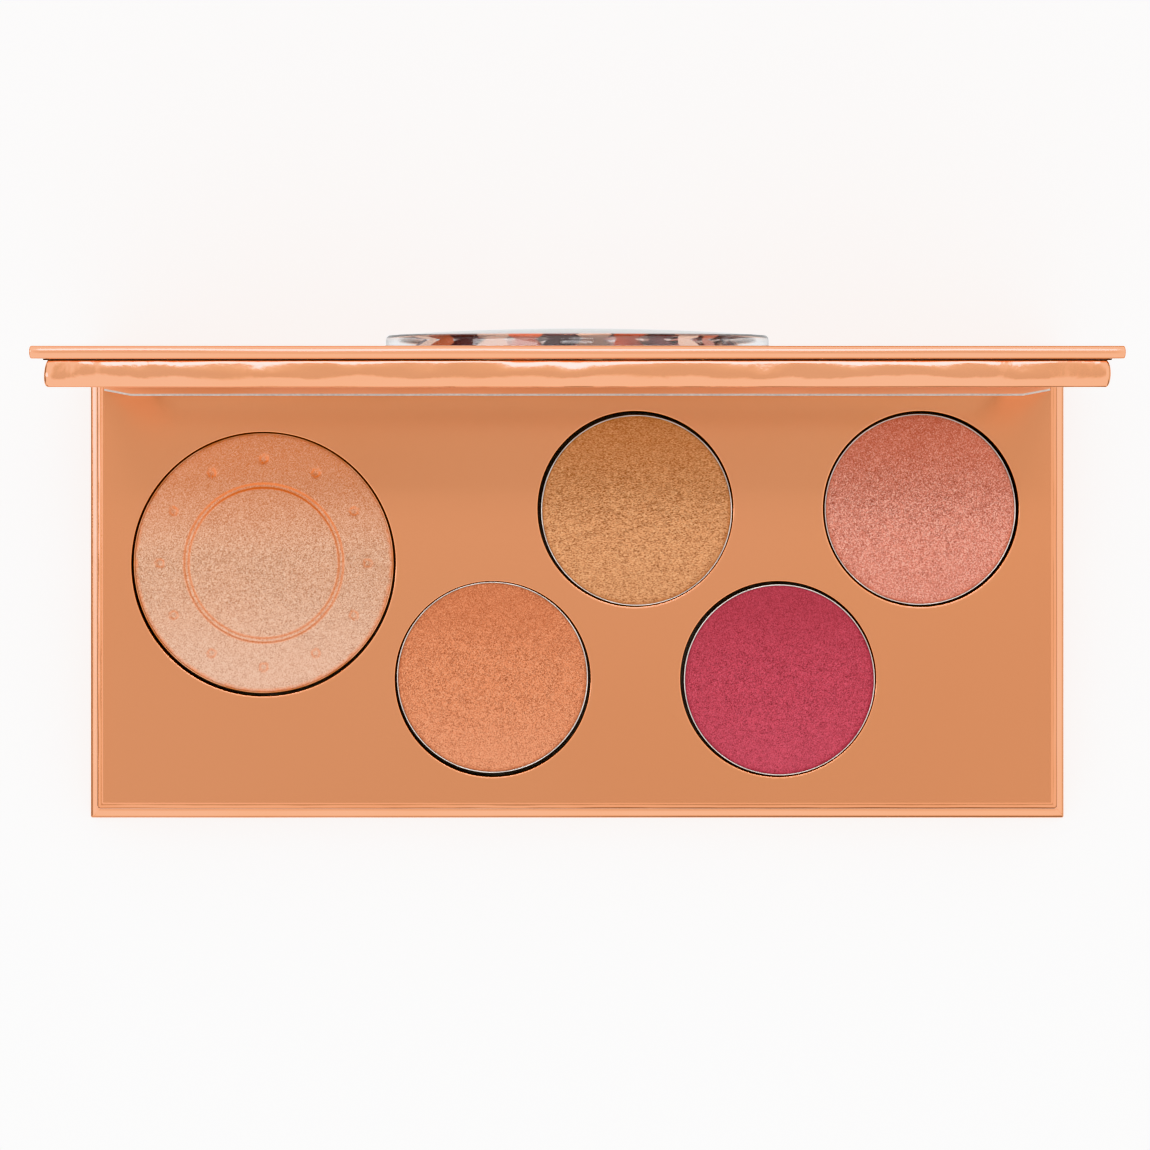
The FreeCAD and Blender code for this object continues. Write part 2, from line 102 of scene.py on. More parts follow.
class NodeSketch:
    """Adds nodes to one shader tree and links them."""

    def __init__(self, tree: bpy.types.NodeTree) -> None:
        """Keep the tree that the nodes go into."""
        self.tree = tree

    def add(self, kind: str, **settings: object) -> bpy.types.Node:
        """Add a node and set its options.

        Args:
            kind: Blender's name for the node type.
            settings: option names and values.

        Returns:
            The new node.
        """
        node = self.tree.nodes.new(kind)
        for name, value in settings.items():
            setattr(node, name, value)
        return node

    def feed(self, target: bpy.types.NodeSocket, source: object) -> None:
        """Link a socket to the target, or set a plain value on it.

        Args:
            target: input socket to feed.
            source: output socket, number or colour.
        """
        if isinstance(source, bpy.types.NodeSocket):
            self.tree.links.new(source, target)
        elif isinstance(source, tuple) and len(source) == 3 and target.type == "RGBA":
            target.default_value = (*source, 1.0)
        else:
            target.default_value = source

    def math(self, operation: str, first: object, second: object = 0.0) -> bpy.types.NodeSocket:
        """Combine two values.

        Args:
            operation: name of the math operation.
            first: socket or number.
            second: socket or number.

        Returns:
            The result's socket.
        """
        node = self.add("ShaderNodeMath", operation=operation)
        self.feed(node.inputs[0], first)
        self.feed(node.inputs[1], second)
        return node.outputs[0]

    def spread(
        self, value: object, low: float, high: float, to_low: float, to_high: float
    ) -> bpy.types.NodeSocket:
        """Map a value from one range to another, clamped.

        Args:
            value: socket to map.
            low: start of the range it has.
            high: end of the range it has.
            to_low: value at the start.
            to_high: value at the end.

        Returns:
            The mapped value's socket.
        """
        node = self.add("ShaderNodeMapRange")
        for index, number in enumerate((value, low, high, to_low, to_high)):
            self.feed(node.inputs[index], number)
        return node.outputs[0]

    def between(self, share: object, start: float, end: float) -> bpy.types.NodeSocket:
        """Value between two ends, for a share from 0 to 1."""
        return self.spread(share, 0.0, 1.0, start, end)

    def ease(self, value: object, low: float, high: float) -> bpy.types.NodeSocket:
        """Rise smoothly from 0 to 1 over a range.

        Args:
            value: socket to map.
            low: where the rise starts.
            high: where it ends.

        Returns:
            The eased value's socket.
        """
        node = self.add("ShaderNodeMapRange", interpolation_type="SMOOTHSTEP")
        for index, number in enumerate((value, low, high, 0.0, 1.0)):
            self.feed(node.inputs[index], number)
        return node.outputs[0]

    def mix(self, share: object, first: object, second: object) -> bpy.types.NodeSocket:
        """Mix two colours.

        Args:
            share: socket or number, 0 for the first colour and 1 for the second.
            first: socket or colour.
            second: socket or colour.

        Returns:
            The mixed colour's socket.
        """
        node = self.add("ShaderNodeMix", data_type="RGBA")
        self.feed(node.inputs[0], share)
        self.feed(node.inputs[6], first)
        self.feed(node.inputs[7], second)
        return node.outputs[2]

    def place(self, effect: Effect, **values: float) -> dict[str, bpy.types.NodeSocket]:
        """Place a shared effect with its own values.

        Args:
            effect: which effect.
            values: input names, with underscores for spaces, and their values.

        Returns:
            The effect's output sockets by name.
        """
        node = self.add("ShaderNodeGroup", node_tree=effect_tree(effect))
        for name, value in values.items():
            node.inputs[name.replace("_", " ")].default_value = value
        return {socket.name: socket for socket in node.outputs}

    def noise(self, vector: object, scale: object, detail: float = 2.0) -> bpy.types.NodeSocket:
        """Soft noise between 0 and 1.

        Args:
            vector: socket of the place.
            scale: socket or number of repeats per metre.
            detail: how many finer layers it has.

        Returns:
            The noise value's socket.
        """
        node = self.add("ShaderNodeTexNoise")
        self.feed(node.inputs["Vector"], vector)
        self.feed(node.inputs["Scale"], scale)
        node.inputs["Detail"].default_value = detail
        return node.outputs[0]

    def bump(self, shader: bpy.types.NodeInputs, height: bpy.types.NodeSocket) -> None:
        """Let a height in metres tilt the shader's normal.

        Args:
            shader: the shader's inputs.
            height: socket of the height.
        """
        node = self.add("ShaderNodeBump")
        node.inputs["Strength"].default_value = 1.0
        node.inputs["Distance"].default_value = 1.0
        self.feed(node.inputs["Height"], height)
        self.feed(shader["Normal"], node.outputs[0])


@cache
def effect_tree(effect: Effect) -> bpy.types.NodeTree:
    """Build the node group of a shared effect, once.

    Args:
        effect: which effect.

    Returns:
        The node group.
    """
    makers = {
        Effect.FOIL_RIPPLE: foil_ripple,
        Effect.POWDER_GRAIN: powder_grain,
        Effect.PAPER_FIBRE: paper_fibre,
        Effect.HANDLING_HAZE: handling_haze,
    }
    return makers[effect](effect.value)


def empty_group(name: str, inputs: dict[str, float], outputs: Sequence[str]) -> tuple[NodeSketch, dict, dict]:
    """Make a node group with its sockets.

    Args:
        name: the group's name.
        inputs: input names and usual values.
        outputs: output names.

    Returns:
        The sketch, the input sockets by name and the output sockets by name.
    """
    tree = bpy.data.node_groups.new(name, "ShaderNodeTree")
    for label, value in inputs.items():
        socket = tree.interface.new_socket(label, in_out="INPUT", socket_type="NodeSocketFloat")
        socket.default_value = value
    for label in outputs:
        tree.interface.new_socket(label, in_out="OUTPUT", socket_type="NodeSocketFloat")
    sketch = NodeSketch(tree)
    start = sketch.add("NodeGroupInput")
    end = sketch.add("NodeGroupOutput")
    return sketch, {s.name: s for s in start.outputs if s.name}, {s.name: s for s in end.inputs if s.name}


def own_place(sketch: NodeSketch) -> bpy.types.NodeSocket:
    """Place on the piece, in metres, that rides along with it."""
    return sketch.add("ShaderNodeTexCoord").outputs["Object"]


def foil_ripple(name: str) -> bpy.types.NodeTree:
    """Slow waves and fine tooth of foil paper glued over board.

    Args:
        name: the group's name.

    Returns:
        The group, with Height in metres and Tone from 0 to 1.
    """
    usual = {"Wave Scale": 80.0, "Wave Depth": 5e-5, "Tooth Scale": 900.0, "Tooth Depth": 1e-6}
    sketch, given, wanted = empty_group(name, usual, ("Height", "Tone"))
    place = own_place(sketch)
    wave = sketch.noise(place, given["Wave Scale"], detail=1.0)
    tooth = sketch.noise(place, given["Tooth Scale"], detail=3.0)
    deep = sketch.math("MULTIPLY", wave, given["Wave Depth"])
    fine = sketch.math("MULTIPLY", tooth, given["Tooth Depth"])
    sketch.feed(wanted["Height"], sketch.math("ADD", deep, fine))
    sketch.feed(wanted["Tone"], sketch.spread(wave, NOISE_LOW, NOISE_HIGH, 0.0, 1.0))
    return sketch.tree


def powder_grain(name: str) -> bpy.types.NodeTree:
    """Grain, clumps and glinting flecks of pressed powder.

    Args:
        name: the group's name.

    Returns:
        The group, with Tone and Glint from 0 to 1 and Height in metres.
    """
    clump_scale, clump_share = 0.12, 0.12
    fleck_scale, fleck_tone, glint_span = 1.1, 0.13, 0.45
    tone_low, tone_high = 0.34, 0.62
    usual = {"Grain Scale": 4000.0, "Along": 1.0, "Glint Cut": 0.6, "Relief": 3e-5}
    sketch, given, wanted = empty_group(name, usual, ("Tone", "Glint", "Height"))
    stretch = sketch.add("ShaderNodeCombineXYZ")
    sketch.feed(stretch.inputs[0], given["Along"])
    stretch.inputs[1].default_value = 1.0
    stretch.inputs[2].default_value = 1.0
    drawn = sketch.add("ShaderNodeVectorMath", operation="MULTIPLY")
    sketch.feed(drawn.inputs[0], own_place(sketch))
    sketch.feed(drawn.inputs[1], stretch.outputs[0])
    place = drawn.outputs[0]
    grain = sketch.noise(place, given["Grain Scale"])
    clump = sketch.noise(place, sketch.math("MULTIPLY", given["Grain Scale"], clump_scale), detail=1.0)
    fine = sketch.math("MULTIPLY", grain, 1 - clump_share)
    both = sketch.math("ADD", fine, sketch.math("MULTIPLY", clump, clump_share))
    flecks = sketch.add("ShaderNodeTexVoronoi")
    sketch.feed(flecks.inputs["Vector"], place)
    sketch.feed(flecks.inputs["Scale"], sketch.math("MULTIPLY", given["Grain Scale"], fleck_scale))
    lot = sketch.add("ShaderNodeSeparateColor")
    sketch.feed(lot.inputs[0], flecks.outputs["Color"])
    speckled = sketch.math("ADD", both, sketch.between(lot.outputs[1], -fleck_tone, fleck_tone))
    sketch.feed(wanted["Tone"], sketch.spread(speckled, tone_low, tone_high, 0.0, 1.0))
    above = sketch.math("SUBTRACT", lot.outputs[0], given["Glint Cut"])
    sketch.feed(wanted["Glint"], sketch.spread(above, 0.0, glint_span, 0.0, 1.0))
    sketch.feed(wanted["Height"], sketch.math("MULTIPLY", both, given["Relief"]))
    return sketch.tree


def paper_fibre(name: str) -> bpy.types.NodeTree:
    """Matted fibres of board and cut paper.

    Args:
        name: the group's name.

    Returns:
        The group, with Tone from 0 to 1 and Height in metres.
    """
    cloud_scale, cloud_share = 0.12, 0.3
    sketch, given, wanted = empty_group(name, {"Fibre Scale": 900.0, "Relief": 2e-5}, ("Tone", "Height"))
    place = own_place(sketch)
    matted = sketch.noise(place, given["Fibre Scale"], detail=4.0)
    cloud = sketch.noise(place, sketch.math("MULTIPLY", given["Fibre Scale"], cloud_scale))
    fine = sketch.math("MULTIPLY", matted, 1 - cloud_share)
    both = sketch.math("ADD", fine, sketch.math("MULTIPLY", cloud, cloud_share))
    sketch.feed(wanted["Tone"], sketch.spread(both, NOISE_LOW, NOISE_HIGH, 0.0, 1.0))
    sketch.feed(wanted["Height"], sketch.math("MULTIPLY", matted, given["Relief"]))
    return sketch.tree


def handling_haze(name: str) -> bpy.types.NodeTree:
    """Faint cloudy haze that handling leaves on a smooth surface.

    Args:
        name: the group's name.

    Returns:
        The group, with Haze from 0 to 1.
    """
    sketch, given, wanted = empty_group(name, {"Patch Scale": 60.0}, ("Haze",))
    patch_low, patch_high = 0.25, 0.75
    patch = sketch.noise(own_place(sketch), given["Patch Scale"], detail=1.0)
    sketch.feed(wanted["Haze"], sketch.ease(patch, patch_low, patch_high))
    return sketch.tree


@dataclass(frozen=True)
class Finish(ABC):
    """A surface finish that becomes one material."""

    name: str

    @abstractmethod
    def wire(self, sketch: NodeSketch, shader: bpy.types.NodeInputs) -> None:
        """Feed the shader's inputs.

        Args:
            sketch: the material's node sketch.
            shader: the shader's inputs.
        """


@cache
def material_of(finish: Finish) -> bpy.types.Material:
    """Make the material of a finish, once.

    Args:
        finish: the finish to make.

    Returns:
        The material.
    """
    made = bpy.data.materials.new("finish_" + finish.name)
    made.use_nodes = True
    finish.wire(NodeSketch(made.node_tree), made.node_tree.nodes["Principled BSDF"].inputs)
    return made


@dataclass(frozen=True)
class FoilFinish(Finish):
    """Copper foil on paper; lengths and depths in millimetres."""

    tint: Colour = (0.88, 0.41, 0.225)
    deep: Colour = (0.86, 0.392, 0.207)
    roughness: float = 0.12
    haze: float = 0.06
    haze_length: float = 18.0
    wave_length: float = 11.0
    wave_depth: float = 0.05
    tooth_length: float = 0.7
    tooth_depth: float = 0.0006

    def wire(self, sketch: NodeSketch, shader: bpy.types.NodeInputs) -> None:
        """Feed the shader's inputs.

        Args:
            sketch: the material's node sketch.
            shader: the shader's inputs.
        """
        ripple = sketch.place(
            Effect.FOIL_RIPPLE,
            Wave_Scale=1 / (self.wave_length * MM),
            Wave_Depth=self.wave_depth * MM,
            Tooth_Scale=1 / (self.tooth_length * MM),
            Tooth_Depth=self.tooth_depth * MM,
        )
        haze = sketch.place(Effect.HANDLING_HAZE, Patch_Scale=1 / (self.haze_length * MM))["Haze"]
        sketch.feed(shader["Base Color"], sketch.mix(haze, self.tint, self.deep))
        sketch.feed(shader["Roughness"], sketch.between(haze, self.roughness, self.roughness + self.haze))
        sketch.feed(shader["Metallic"], 1.0)
        sketch.bump(shader, ripple["Height"])


@dataclass(frozen=True)
class PowderFinish(Finish):
    """Pressed powder; the grain length is in millimetres."""

    light: Colour
    dark: Colour
    # Deep colour: the real rim stain and pressed marks, and also painted shade towards the back of the cake
    deep: Colour
    # Colour of a painted highlight, mixed in towards the front of the cake
    painted_sheen_colour: Colour
    glint: Colour
    glint_cut: float = 0.6
    glint_share: float = 0.5
    metallic: float = 0.2
    roughness: float = 0.55
    grain: float = 0.12
    along: float = 1.0
    relief: float = 0.02
    patch_scale: float = 110.0
    rubbed: float = 0.04
    # How the grain's tone scales the real wear together with the painted shade, and the painted highlight
    wear_and_shade: Span = (1.2, 0.8)
    painted_sheen_lift: Span = (0.5, 1.5)
    glint_metallic: float = 0.9
    glint_roughness: float = 0.3

    def wire(self, sketch: NodeSketch, shader: bpy.types.NodeInputs) -> None:
        """Feed the shader's inputs.

        Args:
            sketch: the material's node sketch.
            shader: the shader's inputs.
        """
        grain = sketch.place(
            Effect.POWDER_GRAIN,
            Grain_Scale=1 / (self.grain * MM),
            Along=self.along,
            Glint_Cut=self.glint_cut,
            Relief=self.relief * MM,
        )
        haze = sketch.place(Effect.HANDLING_HAZE, Patch_Scale=self.patch_scale)["Haze"]
        # Each point's share of real rim stain and pressed marks, and of painted shade towards the back
        pressed = sketch.add("ShaderNodeAttribute", attribute_name="pressed").outputs["Fac"]
        body = sketch.mix(grain["Tone"], self.dark, self.light)
        glint = sketch.math("MULTIPLY", grain["Glint"], self.glint_share)
        flecked = sketch.mix(glint, body, self.glint)
        rubbed = sketch.math("MULTIPLY", haze, self.rubbed)
        marked = sketch.math("MAXIMUM", rubbed, pressed)
        wear_and_shade = sketch.math("MULTIPLY", marked, sketch.between(grain["Tone"], *self.wear_and_shade))
        # Painted highlight: each point's share of the sheen colour, lighter towards the front
        bright = sketch.add("ShaderNodeAttribute", attribute_name="bright").outputs["Fac"]
        painted_sheen_lift = sketch.math("MULTIPLY", bright, sketch.between(grain["Tone"], *self.painted_sheen_lift))
        with_painted_sheen = sketch.mix(painted_sheen_lift, flecked, self.painted_sheen_colour)
        sketch.feed(shader["Base Color"], sketch.mix(wear_and_shade, with_painted_sheen, self.deep))
        sketch.feed(shader["Metallic"], sketch.between(glint, self.metallic, self.glint_metallic))
        sketch.feed(shader["Roughness"], sketch.between(glint, self.roughness, self.glint_roughness))
        sketch.bump(shader, grain["Height"])


@dataclass(frozen=True)
class BoardFinish(Finish):
    """Matted board or a cut paper edge; the fibre length is in millimetres."""

    light: Colour
    dark: Colour
    fibre: float = 1.1
    relief: float = 0.02
    roughness: Span = (0.8, 0.95)
    glow: float = 0.0

    def wire(self, sketch: NodeSketch, shader: bpy.types.NodeInputs) -> None:
        """Feed the shader's inputs.

        Args:
            sketch: the material's node sketch.
            shader: the shader's inputs.
        """
        fibre = sketch.place(Effect.PAPER_FIBRE, Fibre_Scale=1 / (self.fibre * MM), Relief=self.relief * MM)
        sketch.feed(shader["Base Color"], sketch.mix(fibre["Tone"], self.dark, self.light))
        sketch.feed(shader["Roughness"], sketch.between(fibre["Tone"], *self.roughness))
        sketch.feed(shader["Emission Color"], WHITE)
        sketch.feed(shader["Emission Strength"], self.glow)
        sketch.bump(shader, fibre["Height"])


@dataclass(frozen=True)
class MetalFinish(Finish):
    """Thin pressed metal or plain steel; scales per metre, depths in metres."""

    tint: Colour
    deep: Colour
    roughness: float = 0.26
    drawn_roughness: float = 0.12
    patch_scale: float = 300.0
    wave_scale: float = 400.0
    wave_depth: float = 4e-6
    tooth_scale: float = 4000.0
    tooth_depth: float = 1e-6

    def wire(self, sketch: NodeSketch, shader: bpy.types.NodeInputs) -> None:
        """Feed the shader's inputs.

        Args:
            sketch: the material's node sketch.
            shader: the shader's inputs.
        """
        drawn = sketch.place(
            Effect.FOIL_RIPPLE,
            Wave_Scale=self.wave_scale,
            Wave_Depth=self.wave_depth,
            Tooth_Scale=self.tooth_scale,
            Tooth_Depth=self.tooth_depth,
        )
        haze = sketch.place(Effect.HANDLING_HAZE, Patch_Scale=self.patch_scale)["Haze"]
        sketch.feed(shader["Base Color"], sketch.mix(haze, self.tint, self.deep))
        roughest = self.roughness + self.drawn_roughness
        sketch.feed(shader["Roughness"], sketch.between(drawn["Tone"], self.roughness, roughest))
        sketch.feed(shader["Metallic"], 1.0)
        sketch.bump(shader, drawn["Height"])


@dataclass(frozen=True)
class MirrorFinish(Finish):
    """Silvered glass with a trace of haze."""

    tint: Colour = (0.9, 0.92, 0.92)
    dulled: Colour = (0.86, 0.88, 0.88)
    patch_scale: float = 45.0
    roughness: Span = (0.01, 0.05)

    def wire(self, sketch: NodeSketch, shader: bpy.types.NodeInputs) -> None:
        """Feed the shader's inputs.

        Args:
            sketch: the material's node sketch.
            shader: the shader's inputs.
        """
        haze = sketch.place(Effect.HANDLING_HAZE, Patch_Scale=self.patch_scale)["Haze"]
        sketch.feed(shader["Base Color"], sketch.mix(haze, self.tint, self.dulled))
        sketch.feed(shader["Roughness"], sketch.between(haze, *self.roughness))
        sketch.feed(shader["Metallic"], 1.0)


@dataclass(frozen=True)
class ClearFinish(Finish):
    """Clear moulded plastic or a film of glue; absorption per metre, for a colour that passes."""

    tint: Colour
    dulled: Colour
    passed: Colour = WHITE
    absorption: float = 0.0
    roughness: float = 0.03
    haze: float = 0.04
    patch_scale: float = 120.0
    index: float = 1.49
    shine: float = 0.2

    def wire(self, sketch: NodeSketch, shader: bpy.types.NodeInputs) -> None:
        """Feed the shader's inputs.

        Args:
            sketch: the material's node sketch.
            shader: the shader's inputs.
        """
        haze = sketch.place(Effect.HANDLING_HAZE, Patch_Scale=self.patch_scale)["Haze"]
        sketch.feed(shader["Base Color"], sketch.mix(haze, self.tint, self.dulled))
        sketch.feed(shader["Roughness"], sketch.between(haze, self.roughness, self.roughness + self.haze))
        sketch.feed(shader["Transmission Weight"], 1.0)
        sketch.feed(shader["IOR"], self.index)
        sketch.feed(shader["Specular IOR Level"], self.shine)
        if self.absorption:
            depth = sketch.add("ShaderNodeVolumeAbsorption")
            sketch.feed(depth.inputs["Color"], self.passed)
            sketch.feed(depth.inputs["Density"], self.absorption)
            sketch.feed(sketch.tree.nodes["Material Output"].inputs["Volume"], depth.outputs[0])


def flake_finish(name: str, tint: Colour, deep: Colour) -> FoilFinish:
    """Foil of one colour of flakes."""
    return FoilFinish(name, tint=tint, deep=deep, wave_length=2.0)


FOIL_PAPER = FoilFinish("foil_paper")
FOIL_LOOSE = FoilFinish(
    "foil_loose",
    roughness=0.07,
    haze=0.03,
    wave_length=7.0,
    wave_depth=0.3,
    tooth_length=3.2,
    tooth_depth=0.045,
)
# Darker copy of the foil paper for the tray's foil: painted shade on the tray's lips
FOIL_PAPER_SHADED = FoilFinish(
    "foil_paper_shaded",
    tint=(0.68, 0.3, 0.158),
    deep=(0.62, 0.26, 0.13),
    roughness=0.1,
    wave_length=8.0,
    wave_depth=0.2,
)
FOIL_CARD = FoilFinish(
    "foil_card",
    tint=(0.76, 0.33, 0.172),
    deep=(0.71, 0.3, 0.152),
    roughness=0.12,
    haze=0.03,
    haze_length=42.0,
    wave_length=34.0,
    wave_depth=0.035,
    tooth_length=0.9,
    tooth_depth=0.002,
)
FOIL_LINER = FoilFinish("foil_liner", tint=(0.8, 0.41, 0.24), deep=(0.72, 0.34, 0.18), roughness=0.3)
CUT_PAPER = BoardFinish("cut_paper", light=(0.62, 0.58, 0.54), dark=(0.42, 0.38, 0.35), fibre=0.4)
FINISHES: dict[str, Finish] = {
    "foil_paper": FOIL_PAPER,
    "foil_card": FOIL_CARD,
    "greyboard": BoardFinish("greyboard", light=(0.4, 0.37, 0.33), dark=(0.26, 0.24, 0.21)),
    "black_board": BoardFinish("black_board", light=(0.016, 0.013, 0.012), dark=(0.006, 0.005, 0.005)),
    "glue_film": ClearFinish("glue_film", tint=(0.8, 0.76, 0.62), dulled=(0.7, 0.66, 0.5), roughness=0.3),
    "dusted_pan": MetalFinish("dusted_pan", tint=(0.52, 0.27, 0.16), deep=(0.42, 0.16, 0.07), roughness=0.4),
    "pan_metal": MetalFinish("pan_metal", tint=(0.5, 0.48, 0.46), deep=(0.37, 0.345, 0.325)),
    "magnet_steel": MetalFinish(
        "magnet_steel", tint=(0.55, 0.55, 0.55), deep=(0.4, 0.4, 0.41), roughness=0.34
    ),
    "highlighter_powder": PowderFinish(
        "highlighter_powder",
        light=(0.49, 0.28, 0.176),
        dark=(0.25, 0.1, 0.045),
        deep=(0.74, 0.2, 0.052),
        painted_sheen_colour=(0.6, 0.42, 0.33),
        glint=(0.8, 0.62, 0.48),
        metallic=0.3,
        roughness=0.46,
    ),
    "peach_powder": PowderFinish(
        "peach_powder",
        light=(0.59, 0.205, 0.088),
        dark=(0.2, 0.046, 0.013),
        deep=(0.36, 0.085, 0.025),
        painted_sheen_colour=(0.62, 0.29, 0.17),
        glint=(0.78, 0.4, 0.23),
    ),
    "gold_powder": PowderFinish(
        "gold_powder",
        light=(0.58, 0.268, 0.112),
        dark=(0.19, 0.057, 0.013),
        deep=(0.45, 0.148, 0.04),
        painted_sheen_colour=(0.43, 0.21, 0.095),
        glint=(0.8, 0.48, 0.25),
        roughness=0.52,
        grain=0.1,
        along=0.4,
    ),
    "berry_powder": PowderFinish(
        "berry_powder",
        light=(0.44, 0.043, 0.073),
        dark=(0.14, 0.005, 0.012),
        deep=(0.24, 0.014, 0.026),
        painted_sheen_colour=(0.42, 0.06, 0.1),
        glint=(0.55, 0.11, 0.16),
        glint_share=0.45,
        metallic=0.1,
        roughness=0.6,
    ),
    "rose_powder": PowderFinish(
        "rose_powder",
        light=(0.58, 0.205, 0.142),
        dark=(0.205, 0.038, 0.021),
        deep=(0.52, 0.11, 0.05),
        painted_sheen_colour=(0.46, 0.16, 0.115),
        glint=(0.95, 0.6, 0.48),
        glint_share=0.6,
        roughness=0.52,
    ),
    "mirror_glass": MirrorFinish("mirror_glass"),
    "clear_plastic": ClearFinish(
        "clear_plastic",
        tint=(0.97, 0.975, 0.98),
        dulled=(0.94, 0.95, 0.96),
        passed=(0.6, 0.62, 0.64),
        absorption=30.0,
    ),
    "confetti_copper": flake_finish("confetti_copper", (0.72, 0.17, 0.06), (0.6, 0.09, 0.03)),
    "confetti_garnet": flake_finish("confetti_garnet", (0.2, 0.022, 0.016), (0.07, 0.01, 0.008)),
    "confetti_pearl": flake_finish("confetti_pearl", (0.85, 0.58, 0.46), (0.8, 0.4, 0.26)),
}


@dataclass(frozen=True)
class Sway:
    """Unevenness of hand-wrapped foil: shallow dents and edges of changing roundness, in millimetres."""

    dent: float = 0.05
    wave: float = 7.0
    roundness: float = 0.3
    wander: float = 0.0
    seed: float = 0.0
    stretch: float = 2.0
    crest_offset: float = 5.0
    radius_offset: float = 9.0

    def spot(self, place: Sequence[float]) -> Vector:
        """Place in the noise, drawn out along the edge."""
        x, y, z = place
        return Vector((x / self.stretch, y / self.stretch, z)) / self.wave

    def crest(self, place: Sequence[float]) -> float:
        """Share by which a rounded side's crest wanders off its middle."""
        return self.wander * noise.noise(self.spot(place) + Vector((self.seed, self.crest_offset, 0)))

    def depth(self, place: Sequence[float]) -> float:
        """Depth of the dent at a place, never outwards."""
        return self.dent * (0.5 + 0.5 * noise.noise(self.spot(place) + Vector((self.seed, 0, 0))))

    def radius_share(self, place: Sequence[float]) -> float:
        """Share of the usual edge radius at a place."""
        return 1 + self.roundness * noise.noise(self.spot(place) + Vector((0, self.seed, self.radius_offset)))


@dataclass(frozen=True)
class Puff:
    """Side that is rounded all over, flatter in its middle for a smaller power; depths in millimetres."""

    depth: float
    power: float
    ridge: float = 0.0
    ridge_width: float = 0.3
    upper_share: float = 1.0
    end_share: float = 1.0
    back_share: float = 1.0
    count: int = 24

    def steps(self) -> list[float]:
        """Places from -1 at the bottom to 1 at the top, closer together near both ends."""
        return [-math.cos(math.pi * step / self.count) for step in range(self.count + 1)]

    def inset(self, place: float, wander: np.ndarray, normals: np.ndarray) -> np.ndarray:
        """How far the side is drawn in at a place.

        Args:
            place: from -1 to 1.
            wander: how far the crest lies off the middle, for each point.
            normals: normals into the material, for each point.

        Returns:
            The inset for each point.
        """
        off = (place - wander) / (1 - wander * place)
        ends, back = np.abs(normals[:, 0]), np.maximum(0, -normals[:, 1])
        depth = self.depth * (1 + (self.end_share - 1) * ends) * (1 + (self.back_share - 1) * back)
        upper = self.upper_share + (1 - self.upper_share) * ends
        rounded = depth * (1 - np.maximum(0, 1 - off**2) ** (self.power / 2))
        roof = self.ridge * (np.sqrt(off**2 + self.ridge_width**2) - self.ridge_width)
        return roof + rounded * np.where(off > 0, upper, 1.0)


@dataclass(frozen=True)
class RoundedRectangle:
    """Rectangle with rounded corners, as an outline of points and normals into the material."""

    x_low: float
    x_high: float
    y_low: float
    y_high: float
    radius: float
    spacing: float = 1.1

    @classmethod
    def over(cls, low: Vector, high: Vector, radius: float, spacing: float = 1.1) -> "RoundedRectangle":
        """Rectangle over the box between two corners, seen from above."""
        return cls(low.x, high.x, low.y, high.y, radius, spacing)

    def inset(self, distance: float) -> "RoundedRectangle":
        """The same rectangle drawn inwards.

        Args:
            distance: how far each side moves.

        Returns:
            The smaller rectangle.
        """
        return RoundedRectangle(
            self.x_low + distance,
            self.x_high - distance,
            self.y_low + distance,
            self.y_high - distance,
            self.radius,
            self.spacing,
        )

    def drawn_in(self, points: np.ndarray, normals: np.ndarray, inset: np.ndarray) -> np.ndarray:
        """Move the outline's points inwards, stopping at the corners' diagonals.

        Args:
            points: points of the outline.
            normals: normals that point inwards.
            inset: distance for each point.

        Returns:
            The moved points.
        """
        low = np.array((self.x_low, self.y_low)) + inset[:, None]
        high = np.array((self.x_high, self.y_high)) - inset[:, None]
        return np.clip(points + normals * inset[:, None], low, high)

    def outline(self) -> tuple[np.ndarray, np.ndarray]:
        """Points round the rectangle.

        Returns:
            The points and the normals that point inwards.
        """
        r = self.radius
        centres = [
            (self.x_high - r, self.y_high - r),
            (self.x_low + r, self.y_high - r),
            (self.x_low + r, self.y_low + r),
            (self.x_high - r, self.y_low + r),
        ]
        corner_steps = 8
        points, normals = [], []
        for index, (x, y) in enumerate(centres):
            for step in range(corner_steps + 1):
                angle = math.pi / 2 * (index + step / corner_steps)
                points.append((x + r * math.cos(angle), y + r * math.sin(angle)))
                normals.append((-math.cos(angle), -math.sin(angle)))
            start = np.array(points[-1])
            next_x, next_y = centres[(index + 1) % 4]
            turn = math.pi / 2 * (index + 1)
            end = np.array((next_x + r * math.cos(turn), next_y + r * math.sin(turn)))
            steps = max(2, round(float(np.linalg.norm(end - start)) / self.spacing))
            for step in range(1, steps):
                points.append(tuple(start + (end - start) * step / steps))
                normals.append(normals[-1])
        return np.array(points), np.array(normals)


@dataclass(frozen=True)
class RoundHole:
    """Round hole, as an outline of points and normals into the material."""

    x: float
    y: float
    radius: float
    count: int = ROUND_COUNT

    def drawn_in(self, points: np.ndarray, normals: np.ndarray, inset: np.ndarray) -> np.ndarray:
        """Points moved into the material round the hole."""
        return points + normals * inset[:, None]

    def outline(self) -> tuple[np.ndarray, np.ndarray]:
        """Points round the hole.

        Returns:
            The points and the normals that point into the material round it.
        """
        angles = np.linspace(0, 2 * math.pi, self.count, endpoint=False)
        normals = np.column_stack((np.cos(angles), np.sin(angles)))
        return normals * self.radius + (self.x, self.y), normals


Outline = RoundedRectangle | RoundHole


